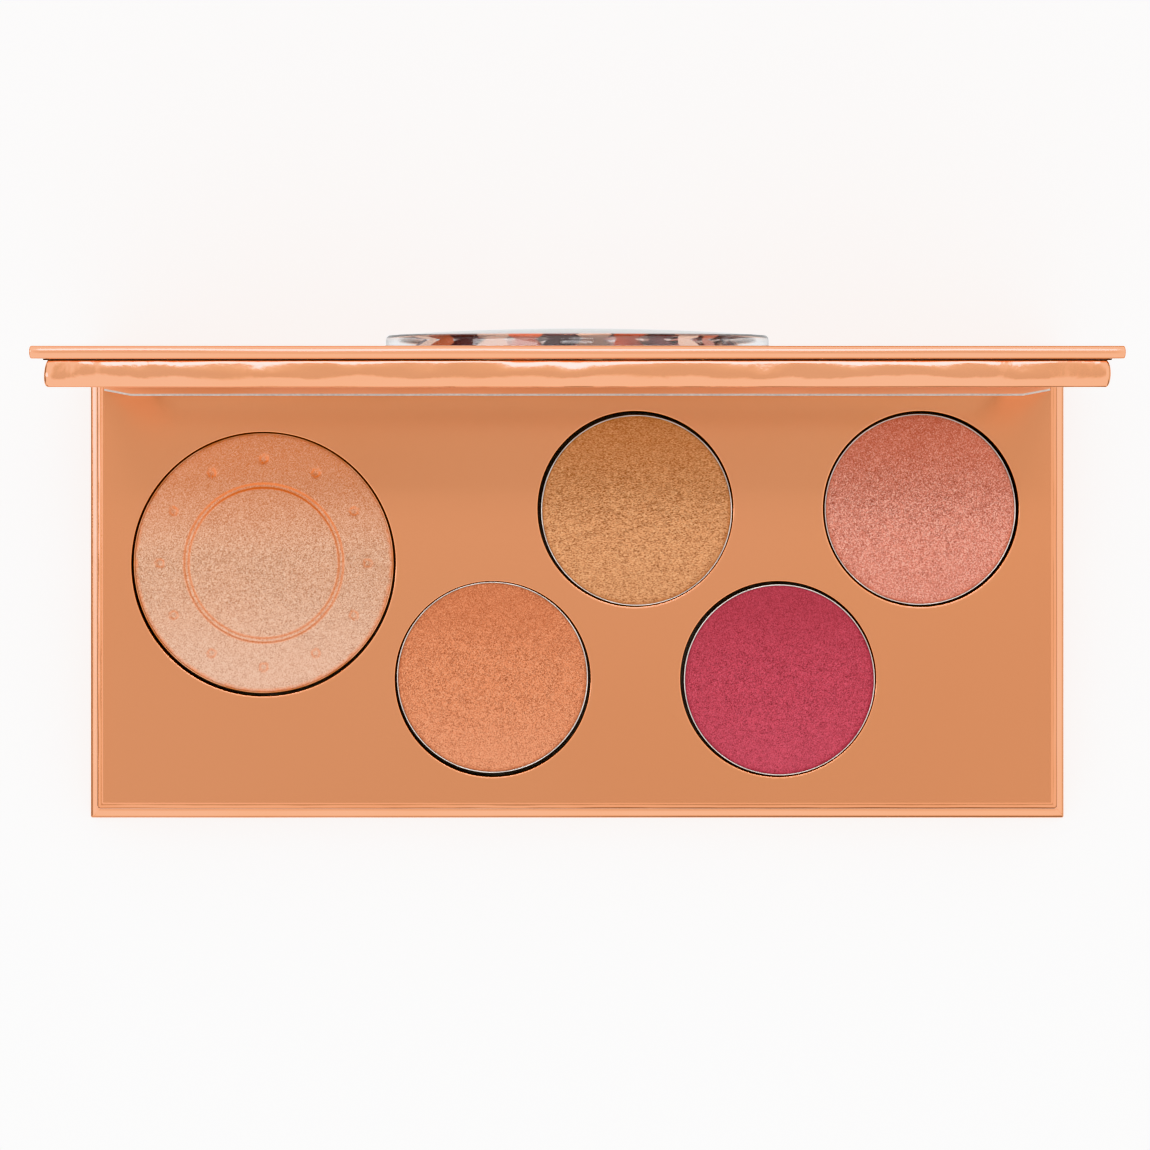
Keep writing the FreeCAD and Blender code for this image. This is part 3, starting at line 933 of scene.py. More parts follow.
@dataclass(frozen=True)
class Slab:
    """Flat piece with rounded edges or a puffed side, drawn lying flat, in millimetres."""

    outline: Outline
    low: float
    high: float
    edge_low: float = 0.0
    edge_high: float = 0.0
    holes: tuple[Outline, ...] = ()
    top_cuts: tuple[Outline, ...] = ()
    bottom_cuts: tuple[Outline, ...] = ()
    has_bottom: bool = True
    side_steps: int = 1
    puff: Puff | None = None
    sway: Sway | None = None

    def profile(self, points: np.ndarray, normals: np.ndarray) -> list[tuple[np.ndarray, np.ndarray]]:
        """Course of the side from the bottom, round both edges, to the top.

        Args:
            points: points of the outline.
            normals: normals into the material.

        Returns:
            Inset and height of each ring, one value for each point.
        """
        ones = np.ones(len(points))
        shares, other_shares, crest = ones, ones, 0 * ones
        if self.sway:
            shares = np.array([self.sway.radius_share((x, y, self.low)) for x, y in points])
            upper = self.high + EDGES_APART
            other_shares = np.array([self.sway.radius_share((x, y, upper)) for x, y in points])
            crest = np.array([self.sway.crest((x, y, self.low)) for x, y in points])
        if self.puff:
            middle, half = (self.low + self.high) / 2, (self.high - self.low) / 2
            course = []
            for u in self.puff.steps():
                course.append((self.puff.inset(u, crest, normals) * shares, middle + half * u * ones))
            below, above = course[0][0], course[-1][0]
        else:
            below, above = self.edge_low * shares, self.edge_high * other_shares
            quarter = [math.pi / 2 * step / ARC_STEPS for step in range(ARC_STEPS + 1)]
            course = []
            for angle in reversed(quarter):
                course.append((below * (1 - math.cos(angle)), self.low + below * (1 - math.sin(angle))))
            start, end = self.low + below, self.high - above
            for step in range(1, self.side_steps):
                course.append((0 * ones, start + (end - start) * step / self.side_steps))
            for angle in quarter:
                course.append((above * (1 - math.cos(angle)), self.high - above * (1 - math.sin(angle))))
        first, last = (below.max() + SUPPORT) * ones, (above.max() + SUPPORT) * ones
        return [(first, self.low * ones), *course, (last, self.high * ones)]

    def rings(self, loop: Outline) -> list[np.ndarray]:
        """Rings of points from the bottom, round both edges, to the top.

        Args:
            loop: outline or hole that the rings follow.

        Returns:
            One array of points for each ring.
        """
        points, normals = loop.outline()
        profile = self.profile(points, normals)
        made = []
        for index, (inset, height) in enumerate(profile):
            flat = index in (0, len(profile) - 1)
            spots = np.column_stack((points, height))
            if self.sway and not flat:
                inset = inset + [self.sway.depth(spot) for spot in spots]
            spots[:, :2] = loop.drawn_in(points, normals, inset)
            made.append(spots)
        return made

    def mesh(self) -> bmesh.types.BMesh:
        """Sides, rounded edges and the two flat faces.

        Returns:
            The mesh, open where cuts were asked for.
        """
        made = bmesh.new()
        for loop in (self.outline, *self.holes):
            rows = [[made.verts.new(spot) for spot in ring] for ring in self.rings(loop)]
            for lower, upper in pairwise(rows):
                bridge(made, lower, upper)
        bmesh.ops.remove_doubles(made, verts=made.verts, dist=MELD)
        rims = [edge for edge in made.edges if edge.is_boundary]
        for height, cuts in ((self.low, self.bottom_cuts), (self.high, self.top_cuts)):
            ends = [edge for edge in rims if all(abs(vertex.co.z - height) < MELD for vertex in edge.verts)]
            for cut in cuts:
                row = [made.verts.new((x, y, height)) for x, y in cut.outline()[0]]
                ends.extend(ring_edges(made, row))
            if height == self.high or self.has_bottom:
                bmesh.ops.triangle_fill(made, use_beauty=True, edges=ends)
        return made


def bridge(made: bmesh.types.BMesh, lower: Sequence, upper: Sequence) -> None:
    """Faces between two closed rows, either of which may be a single point.

    Args:
        made: mesh to add to.
        lower: vertices of one row.
        upper: vertices of the other row.
    """
    count = max(len(lower), len(upper))
    for index in range(count):
        after = (index + 1) % count
        corners = [lower[place % len(lower)] for place in (index, after)]
        corners += [upper[place % len(upper)] for place in (after, index)]
        made.faces.new(list(dict.fromkeys(corners)))


def ring_edges(made: bmesh.types.BMesh, row: Sequence) -> list:
    """Edges of a closed row, made where they are missing.

    Args:
        made: mesh that the row is in.
        row: vertices of the row.

    Returns:
        The edges.
    """
    pairs = zip(row, [*row[1:], row[0]])
    return [made.edges.get(pair) or made.edges.new(pair) for pair in pairs]


def loft(sections: Sequence[Sequence[Sequence[float]]], banded: Iterable[int] = ()) -> bmesh.types.BMesh:
    """Solid through closed sections.

    Args:
        sections: points of each section, the same number in each.
        banded: sides of the section, counted from 0, that take the second finish.

    Returns:
        The mesh, with its ends closed.
    """
    made = bmesh.new()
    rows = [[made.verts.new(spot) for spot in section] for section in sections]
    bands = set(banded)
    for first, second in pairwise(rows):
        for index in range(len(first)):
            after = (index + 1) % len(first)
            face = made.faces.new((first[index], first[after], second[after], second[index]))
            face.material_index = int(index in bands)
    made.faces.new(rows[0])
    made.faces.new(rows[-1])
    return made


def polar(radius: float, angle: float) -> Point:
    """Place at a distance from the middle, in a direction in radians."""
    return radius * math.cos(angle), radius * math.sin(angle)


def lathe(profile: Sequence[Point], segments: int = ROUND_COUNT) -> bmesh.types.BMesh:
    """Solid of revolution about Z.

    Args:
        profile: radius and height of each row, from the axis back to the axis.
        segments: points in each row.

    Returns:
        The mesh.
    """
    on_axis = 1e-6
    made = bmesh.new()
    angles = np.linspace(0, 2 * math.pi, segments, endpoint=False)
    rows = []
    for radius, height in profile:
        if radius < on_axis:
            rows.append([made.verts.new((0, 0, height))])
        else:
            rows.append([made.verts.new((*polar(radius, angle), height)) for angle in angles])
    for lower, upper in pairwise(rows):
        bridge(made, lower, upper)
    return made


def arc(centre: Point, radius: float, start: float, end: float, steps: int = 6) -> list[Point]:
    """Points along an arc.

    Args:
        centre: middle of the arc.
        radius: its radius.
        start: first angle in degrees.
        end: last angle in degrees.
        steps: number of spans.

    Returns:
        The points, both ends included.
    """
    angles = [math.radians(start + (end - start) * step / steps) for step in range(steps + 1)]
    return [(centre[0] + radius * math.cos(a), centre[1] + radius * math.sin(a)) for a in angles]


def stations(low: float, high: float, spacing: float, kept: Iterable[float] = ()) -> list[float]:
    """Even steps between two ends, with some places kept exactly.

    Args:
        low: first place.
        high: last place.
        spacing: about how far apart the steps are.
        kept: places that have to be among them.

    Returns:
        The places in order.
    """
    steps = max(1, round((high - low) / spacing))
    even = [low + (high - low) * step / steps for step in range(steps + 1)]
    return sorted(set(even) | set(kept))


def soften(mesh: bpy.types.Mesh) -> None:
    """Shade smoothly, except over sharp edges."""
    mesh.shade_smooth()
    mesh.set_sharp_from_angle(angle=SMOOTH_ANGLE)


def as_piece(
    name: str, made: bmesh.types.BMesh, finishes: Sequence[Finish], placement: Matrix | None = None
) -> bpy.types.Object:
    """Turn a mesh in millimetres into an object of the scene.

    Args:
        name: the piece's name.
        made: mesh to use up.
        finishes: finishes by face index.
        placement: where to move it, in millimetres.

    Returns:
        The object.
    """
    bmesh.ops.recalc_face_normals(made, faces=made.faces)
    mesh = bpy.data.meshes.new(name)
    made.to_mesh(mesh)
    made.free()
    mesh.transform(Matrix.Scale(MM, 4) @ (placement or Matrix.Identity(4)))
    for finish in finishes:
        mesh.materials.append(material_of(finish))
    soften(mesh)
    piece = bpy.data.objects.new(name, mesh)
    bpy.context.scene.collection.objects.link(piece)
    return piece


def thicken(piece: bpy.types.Object, thickness: float, placement: Matrix | None = None) -> bpy.types.Object:
    """Give an open skin its paper thickness, inwards and inside the skin's own box.

    Args:
        piece: object with a one-sided mesh.
        thickness: in millimetres.
        placement: how the skin was moved from where it was drawn, in millimetres.

    Returns:
        The same object.
    """
    modifier = piece.modifiers.new("paper", "SOLIDIFY")
    modifier.thickness = thickness * MM
    modifier.offset = -1.0
    solid = bpy.data.meshes.new_from_object(piece.evaluated_get(bpy.context.evaluated_depsgraph_get()))
    thin = piece.data
    drawn = Matrix.Scale(MM, 4) @ (placement or Matrix.Identity(4))
    thin.transform(drawn.inverted())
    solid.transform(drawn.inverted())
    skin = np.array([vertex.co for vertex in thin.vertices])
    held = np.clip([vertex.co for vertex in solid.vertices], skin.min(0), skin.max(0))
    solid.vertices.foreach_set("co", held.ravel())
    solid.transform(drawn)
    piece.modifiers.clear()
    piece.data = solid
    solid.name = piece.name
    bpy.data.meshes.remove(thin)
    soften(solid)
    return piece


def joined(shells: Iterable[bmesh.types.BMesh]) -> bmesh.types.BMesh:
    """Put shells into one mesh.

    Args:
        shells: the shells, which are used up.

    Returns:
        The mesh.
    """
    made = bmesh.new()
    for shell in shells:
        part = bpy.data.meshes.new("shell")
        shell.to_mesh(part)
        shell.free()
        made.from_mesh(part)
        bpy.data.meshes.remove(part)
    return made


def settle(piece: bpy.types.Object, body: Body, slot: str, *nodes: str) -> bpy.types.Object:
    """Put a piece on its body in place of the frame's nodes.

    Args:
        piece: the finished piece.
        body: body that it rides on.
        slot: the record's material slot; not used.
        nodes: nodes that it stands for.

    Returns:
        The same piece.
    """
    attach(piece, body.value)
    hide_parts(*nodes)
    log.info("%s stands for %s", piece.name, ", ".join(nodes))
    return piece


class Measure:
    """Sizes and places read from the frame, in millimetres."""

    def __init__(self) -> None:
        """Find the hinge and how far the lid stands open."""
        hinge = next(joint for joint in frame["joints"] if joint["name"] == "lid_hinge")
        self.hinge = Vector(hinge["pos_m"]) / MM
        open_angle = math.radians(-hinge["range_deg"][0])
        turn = Matrix.Rotation(open_angle, 4, Vector(hinge["axis"]))
        self.opened = Matrix.Translation(self.hinge) @ turn @ Matrix.Translation(-self.hinge)
        self.shut = self.opened.inverted()

    def corners(self, node: str) -> np.ndarray:
        """Vertices of a node."""
        return np.array([vertex.co for vertex in frame["nodes"][node].data.vertices]) / MM

    def box(self, node: str, shut: bool = False) -> tuple[Vector, Vector]:
        """Lowest and highest corner of a node.

        Args:
            node: name of the node.
            shut: whether to measure it with the lid shut.

        Returns:
            The two corners.
        """
        spots = self.corners(node)
        if shut:
            turn = np.array(self.shut)
            spots = spots @ turn[:3, :3].T + turn[:3, 3]
        return Vector(spots.min(0)), Vector(spots.max(0))

    def well(self, shade: str) -> RoundHole:
        """Hole of the face card round a shade's pan.

        Args:
            shade: name of the shade.

        Returns:
            The hole.
        """
        search_margin = 1.5
        low, high = self.box(shade + "_pan")
        centre = (low + high) / 2
        reach = (high.x - low.x) / 2 + search_margin
        spots = self.corners("face_card")
        near = spots[np.hypot(spots[:, 0] - centre.x, spots[:, 1] - centre.y) < reach]
        start, end = near.min(0), near.max(0)
        middle = (start + end) / 2
        return RoundHole(float(middle[0]), float(middle[1]), float(end[0] - start[0]) / 2)


@dataclass
class BaseCase:
    """Base cover and spine with the fold of foil between them."""

    measure: Measure
    foil: float = 0.2
    turn_in: float = 3.0
    corner_radius: float = 0.3
    edge_radius: float = 0.3
    ledge: Puff = Puff(depth=1.7, power=0.5, back_share=0.1)
    board_inset: float = 1.3
    proud: float = 0.05
    fold_steps: int = 10
    fold_spacing: float = 6.0

    def build(self) -> None:
        """Build the foil round the base, the spine and their fold."""
        low, high = self.measure.box("base_wrap")
        outline = RoundedRectangle.over(low, high, self.corner_radius)
        cover = Slab(
            outline,
            low.z,
            high.z,
            top_cuts=(outline.inset(self.turn_in),),
            puff=self.ledge,
            sway=Sway(dent=0.02, wave=9.0, roundness=0.06, seed=3.0),
        )
        piece = thicken(as_piece("base_cover_foil", cover.mesh(), [FOIL_PAPER]), self.foil)
        settle(piece, Body.BASE, "foil_paper", "base_wrap")
        self.build_board()
        self.build_spine()
        self.build_fold()

    def build_board(self) -> None:
        """Build the board inside the foil, clear of its rounded edge."""
        low, high = self.measure.box("base_board")
        outline = RoundedRectangle.over(low, high, self.corner_radius).inset(self.board_inset)
        board = Slab(outline, low.z, high.z, self.edge_radius, self.edge_radius)
        piece = as_piece("base_board_core", board.mesh(), [FINISHES["greyboard"]])
        settle(piece, Body.BASE, "greyboard", "base_board")

    def build_spine(self) -> None:
        """Build the foil round the spine, drawn flat and stood up."""
        low, high = self.measure.box("spine_wrap")
        outline = RoundedRectangle(low.x, high.x, low.z, high.z, self.corner_radius)
        spine = Slab(
            outline,
            -high.y,
            self.proud - low.y,
            self.edge_radius,
            self.edge_radius,
            top_cuts=(outline.inset(self.turn_in),),
            sway=Sway(dent=0.02, roundness=0.2, seed=5.0),
        )
        upright = Matrix.Rotation(math.pi / 2, 4, "X")
        piece = thicken(as_piece("spine_foil", spine.mesh(), [FOIL_PAPER], upright), self.foil, upright)
        settle(piece, Body.BASE, "foil_paper", "spine_wrap")

    def build_fold(self) -> None:
        """Build the quarter-round fold from under the base up to the spine."""
        low, high = self.measure.box("lower_fold")
        centre = (low.y, high.z)
        radius = high.y - low.y
        section = [*arc(centre, radius, -90, 0, self.fold_steps), centre]
        places = stations(low.x, high.x, self.fold_spacing)
        fold = loft([[(x, y, z) for y, z in section] for x in places])
        settle(as_piece("lower_fold_foil", fold, [FOIL_PAPER]), Body.BASE, "foil_paper", "lower_fold")


@dataclass
class PaperHinge:
    """Strip of foil paper that bends between spine and lid."""

    measure: Measure
    thickness: float = 0.2
    overlap: float = 0.6
    tuck: float = 0.04
    rows: int = 9
    spacing: float = 4.0

    def build(self) -> None:
        """Build the strip, shaped over the hinge with the lid open."""
        low, _ = self.measure.box("hinge_fold_lower")
        _, lid_high = self.measure.box("lid_wrap", shut=True)
        spine_low, spine_high = self.measure.box("spine_wrap")
        hinge = self.measure.hinge
        back = spine_high.y
        outer, inner = [], []
        for step in range(self.rows):
            height = low.z + (hinge.z - low.z) * step / self.rows
            outer.append((back, height))
            inner.append((back - self.thickness, height))
        reach = hinge.y - lid_high.y
        spots = [(reach * step / self.rows, 0.0) for step in range(self.rows)]
        spots += [(reach, self.tuck), (reach + self.overlap, self.tuck)]
        for along, drop in spots:
            for row, depth in ((outer, drop), (inner, self.thickness + drop)):
                spot = self.measure.opened @ Vector((0, hinge.y - along, lid_high.z - depth))
                row.append((spot.y, spot.z))
        section = outer + inner[::-1]
        places = stations(spine_low.x, spine_high.x, self.spacing)
        strip = loft([[(x, y, z) for y, z in section] for x in places])
        piece = as_piece("hinge_paper", strip, [FOIL_PAPER])
        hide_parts("hinge_fold_lower", "hinge_fold_upper")
        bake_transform(piece)
        log.info("%s bends between spine and lid", piece.name)


@dataclass
class Tray:
    """Tray on the base: its foil, its face card and the liner strip behind it."""

    measure: Measure
    shades: Sequence[str]
    foil: float = 0.2
    corner_radius: float = 0.5
    card_corner: float = 0.3
    edge_radius: float = 0.45
    foot_radius: float = 0.05
    card_edge: float = 0.09
    liner_thickness: float = 0.25
    liner_bevel: float = 0.26
    liner_bend: float = 0.7
    liner_trim_run: float = 3.7
    liner_trim_cut: float = 0.7
    liner_wander: float = 0.03
    liner_wave: float = 5.0
    liner_seed: float = 2.5
    liner_steps: int = 8
    liner_spacing: float = 2.2

    def build(self) -> None:
        """Build the tray's visible pieces."""
        wells = tuple(self.measure.well(shade) for shade in self.shades)
        self.build_wrap(wells)
        self.build_card(wells)
        self.build_liner()

    def build_wrap(self, wells: tuple[RoundHole, ...]) -> None:
        """Build the foil over the tray's sides and top edge.

        Args:
            wells: holes over the pans.
        """
        low, high = self.measure.box("tray_wrap")
        wrap = Slab(
            RoundedRectangle.over(low, high, self.corner_radius, spacing=0.8),
            low.z,
            high.z,
            self.foot_radius,
            self.edge_radius,
            top_cuts=wells,
            has_bottom=False,
            side_steps=6,
            sway=Sway(dent=0.04, wave=3.2, roundness=0.25, seed=7.0),
        )
        # The tray's foil takes the darker copy of the foil paper, painted shade on its lips
        piece = thicken(as_piece("tray_foil", wrap.mesh(), [FOIL_PAPER_SHADED]), self.foil)
        settle(piece, Body.BASE, "foil_paper", "tray_wrap")

    def build_card(self, wells: tuple[RoundHole, ...]) -> None:
        """Build the satin card with its five holes.

        Args:
            wells: holes over the pans.
        """
        low, high = self.measure.box("face_card")
        card = Slab(
            RoundedRectangle.over(low, high, self.card_corner),
            low.z,
            high.z,
            self.card_edge,
            self.card_edge,
            holes=wells,
        )
        settle(as_piece("face_card_foil", card.mesh(), [FOIL_CARD]), Body.BASE, "foil_card", "face_card")

    def build_liner(self) -> None:
        """Build the liner over the tray's back and up the spine, its cut front edge bare paper."""
        low, high = self.measure.box("hinge_liner")
        top = low.z + self.liner_thickness
        face = high.y - self.liner_thickness
        centre = (face - self.liner_bend, top + self.liner_bend)
        bend = arc(centre, self.liner_bend, -90, 0, self.liner_steps)
        straight = high.x - self.liner_trim_run
        sections = []
        for x in stations(low.x, high.x, self.liner_spacing, (-straight, straight)):
            trim = max(0.0, (abs(x) - straight) / self.liner_trim_run) * self.liner_trim_cut
            wander = noise.noise(Vector((x / self.liner_wave, self.liner_seed, 0)))
            front = low.y + trim + self.liner_wander * wander
            cut = [(front, low.z), (front + self.liner_bevel, top)]
            back = [(face, high.z), (high.y, high.z), (high.y, low.z)]
            sections.append([(x, y, z) for y, z in cut + bend + back])
        liner = loft(sections, banded=(0,))
        piece = as_piece("hinge_liner_foil", liner, [FOIL_LINER, CUT_PAPER])
        settle(piece, Body.BASE, "foil_card", "hinge_liner")


@dataclass
class Pan:
    """One metal pan with its cake of powder."""

    measure: Measure
    shade: str
    wall: float = 0.2
    inside_radius: float = 0.3
    rim_radius: float = 0.08
    rim_steps: int = 4
    ring_spacing: float = 0.28
    # Shares of painted highlight towards the front of each cake, larger on the marked cake
    painted_sheen_share: float = 0.2
    marked_painted_sheen_share: float = 0.35

    def build(self) -> None:
        """Build the pan and its powder."""
        low, high = self.measure.box(self.shade + "_pan")
        centre = (low + high) / 2
        placement = Matrix.Translation((centre.x, centre.y, 0))
        outer = (high.x - low.x) / 2
        inner = outer - self.wall
        bend = self.inside_radius + self.wall
        profile = [(0, low.z)]
        profile += arc((outer - bend, low.z + bend), bend, -90, 0)
        crest = high.z - self.rim_radius
        profile += arc((outer - self.rim_radius, crest), self.rim_radius, 0, 90, self.rim_steps)
        profile += arc((inner + self.rim_radius, crest), self.rim_radius, 90, 180, self.rim_steps)
        floor = low.z + self.wall
        profile += arc((inner - self.inside_radius, floor + self.inside_radius), self.inside_radius, 0, -90)
        profile += [(0, floor)]
        name = self.shade + "_pan"
        finish = FINISHES["dusted_pan" if self.marks() else "pan_metal"]
        metal = as_piece(name + "_metal", lathe(profile), [finish], placement)
        settle(metal, Body.BASE, "pan_metal", name)
        self.build_powder(inner, placement)

    def build_powder(self, radius: float, placement: Matrix) -> None:
        """Build the cake of powder.

        Args:
            radius: inside of the pan.
            placement: where the pan stands.
        """
        node = self.shade + "_powder"
        low, high = self.measure.box(node)
        marks = self.marks()
        cake = Cake(radius, low.z, high.z, marks, self.marked_painted_sheen_share if marks else self.painted_sheen_share)
        piece = as_piece(node + "_cake", cake.mesh(self.ring_spacing), [FINISHES[node]], placement)
        self.mark_pressed(piece, cake, placement)
        settle(piece, Body.BASE, node, node)

    def marks(self) -> "PressedMarks | None":
        """Marks pressed into the large cake."""
        return PressedMarks() if self.shade == "highlighter" else None

    def mark_pressed(self, piece: bpy.types.Object, cake: "Cake", placement: Matrix) -> None:
        """Store each point's share of deepening (painted shade towards the back, real stain at the rim and in the
        marks) and of painted highlight towards the front, for the finish.

        Args:
            piece: the cake's object.
            cake: the cake that it was made from.
            placement: where the pan stands.
        """
        centre = placement.to_translation()
        spots = [vertex.co / MM - centre for vertex in piece.data.vertices]
        # One attribute carries painted shade towards the back with the real stain and marks; the other a painted
        # highlight towards the front
        for name, share in (("pressed", cake.pressed), ("bright", cake.bright)):
            values = [share(math.hypot(spot.x, spot.y), math.atan2(spot.y, spot.x)) for spot in spots]
            attribute = piece.data.attributes.new(name, "FLOAT", "POINT")
            attribute.data.foreach_set("value", values)


@dataclass(frozen=True)
class PressedMarks:
    """Ring and circle of plain dots pressed into a cake, in millimetres."""

    ring_radius: float = 10.7
    ring_width: float = 0.7
    ring_depth: float = 0.18
    dot_circle: float = 14.375
    dot_count: int = 12
    dot_radius: float = 0.8
    dot_depth: float = 0.25
    dot_slope: float = 1.6
    ring_reach: float = 1.3
    rows_per_width: int = 8
    rows_each_side: int = 6
    wall_place: float = 0.85
    wall_width: float = 0.8
    wall_slope: float = 1.4

    def off_ring(self, radius: float) -> float:
        """Distance from the ring's middle line, in shares of half its width."""
        return abs(radius - self.ring_radius) / (self.ring_width / 2)

    def ring(self, radius: float) -> float:
        """Share of the ring's depth at a distance from the middle."""
        return smooth(self.ring_reach - self.off_ring(radius))

    def ring_rows(self) -> list[float]:
        """Distances from the middle that the ring's walls need points at."""
        steps = range(-self.rows_each_side, self.rows_each_side + 1)
        return [self.ring_radius + self.ring_width * step / self.rows_per_width for step in steps]

    def ring_walls(self, radius: float) -> float:
        """Share by which a place lies on the ring's walls."""
        off_wall = abs(self.off_ring(radius) - self.wall_place)
        return smooth(self.wall_slope * (1 - off_wall / self.wall_width))

    def dot_walls(self, radius: float, angle: float) -> float:
        """Share by which a place lies on a dot's wall."""
        depth = self.dot(radius, angle)
        return 4 * depth * (1 - depth)

    def dot(self, radius: float, angle: float) -> float:
        """Share of a dot's depth at a place.

        Args:
            radius: distance from the middle.
            angle: direction.

        Returns:
            The share.
        """
        step = 2 * math.pi / self.dot_count
        turn = (angle + step / 2) % step - step / 2
        x, y = polar(radius, turn)
        return smooth(self.dot_slope * (1 - math.hypot(x - self.dot_circle, y) / self.dot_radius))


def smooth(value: float) -> float:
    """Smooth step from 0 to 1."""
    held = min(1.0, max(0.0, value))
    return held * held * (3 - 2 * held)


@dataclass(frozen=True)
class Cake:
    """Cake of pressed powder, slightly crowned, in millimetres."""

    radius: float
    low: float
    high: float
    marks: PressedMarks | None
    painted_sheen_share: float
    crown: float = 0.12
    uneven: float = 0.02
    uneven_length: float = 2.4
    rim_fall: float = 0.06
    rim_width: float = 0.35
    rim_stain: float = 0.6
    stain_seed: float = 3.0
    # Painted shade: how much darker the cake is painted towards the back, and where that starts
    back_share: float = 0.45
    painted_shade_start: float = 0.1
    # Share of the marks' colour at the front; towards the back it rises with the painted shade
    front_mark: float = 0.45
    marked_count: int = 360

    def height(self, radius: float, angle: float) -> float:
        """Height of the cake's face at a place.

        Args:
            radius: distance from the middle.
            angle: direction.

        Returns:
            The height.
        """
        x, y = polar(radius, angle)
        spot = Vector((x / self.uneven_length, y / self.uneven_length, self.radius))
        level = self.high - self.crown * (radius / self.radius) ** 2
        level -= self.uneven * (0.5 + 0.5 * noise.noise(spot))
        level -= self.rim_fall * smooth(1 - (self.radius - radius) / self.rim_width)
        if self.marks:
            level -= self.marks.ring_depth * self.marks.ring(radius)
            level -= self.marks.dot_depth * self.marks.dot(radius, angle)
        return level

    def pressed(self, radius: float, angle: float) -> float:
        """Share by which the colour deepens: painted shade towards the back, and the real stain at the rim and in
        the marks.

        Args:
            radius: distance from the middle.
            angle: direction.

        Returns:
            The share.
        """
        along = radius * math.sin(angle) / self.radius
        back = smooth(self.painted_shade_start + along)
        patchy = 0.5 + 0.5 * noise.noise(Vector((*polar(radius, angle), self.stain_seed)))
        rim = patchy * smooth(1 - (self.radius - radius) / self.rim_stain)
        # Painted shade towards the back, or the real stain at the rim, whichever is more
        share = max(self.back_share * back, rim)
        if self.marks:
            marked = max(self.marks.ring_walls(radius), self.marks.dot_walls(radius, angle))
            # The marks keep their real colour, painted darker towards the back with the painted shade
            share = max(share, (self.front_mark + (1 - self.front_mark) * back) * marked)
        return share

    def bright(self, radius: float, angle: float) -> float:
        """Share of painted highlight that lightens the colour towards the front."""
        return self.painted_sheen_share * smooth(-radius * math.sin(angle) / self.radius)

    def mesh(self, spacing: float) -> bmesh.types.BMesh:
        """Face, side and underside of the cake.

        Args:
            spacing: distance between the rings of points on the face.

        Returns:
            The mesh.
        """
        made = bmesh.new()
        count = self.marked_count if self.marks else ROUND_COUNT
        angles = [2 * math.pi * index / count for index in range(count)]
        under = [made.verts.new((0, 0, self.low))]
        foot = [made.verts.new((*polar(self.radius, angle), self.low)) for angle in angles]
        rows = [under, foot]
        kept = self.marks.ring_rows() if self.marks else []
        for reach in reversed(stations(0, self.radius, spacing, kept)[1:]):
            spots = [(*polar(reach, angle), self.height(reach, angle)) for angle in angles]
            rows.append([made.verts.new(spot) for spot in spots])
        rows.append([made.verts.new((0, 0, self.height(0, 0)))])
        for lower, upper in pairwise(rows):
            bridge(made, lower, upper)
        return made


@dataclass
class LidCover:
    """Lid board's foil with the round hole for the window."""

    measure: Measure
    foil: float = 0.2
    turn_in: float = 3.0
    corner_radius: float = 0.3
    edge: Puff = Puff(depth=0.5, power=0.5, back_share=0.1)
    hole_clearance: float = 0.15
    flange_width: float = 1.5

    def build(self) -> None:
        """Build the cover's foil, drawn shut and swung open."""
        low, high = self.measure.box("lid_wrap", shut=True)
        window_low, window_high = self.measure.box("shaker_window", shut=True)
        centre = (window_low + window_high) / 2
        window_radius = (window_high.x - window_low.x) / 2 - self.flange_width
        hole = RoundHole(centre.x, centre.y, window_radius + self.hole_clearance)
        outline = RoundedRectangle.over(low, high, self.corner_radius)
        cover = Slab(
            outline,
            low.z,
            high.z,
            top_cuts=(hole,),
            bottom_cuts=(outline.inset(self.turn_in),),
            puff=self.edge,
            sway=Sway(dent=0.02, wave=12.0, roundness=0.1, wander=0.12, seed=11.0),
        )
        piece = as_piece("lid_cover_foil", cover.mesh(), [FOIL_PAPER], self.measure.opened)
        settle(thicken(piece, self.foil, self.measure.opened), Body.LID, "foil_paper", "lid_wrap")


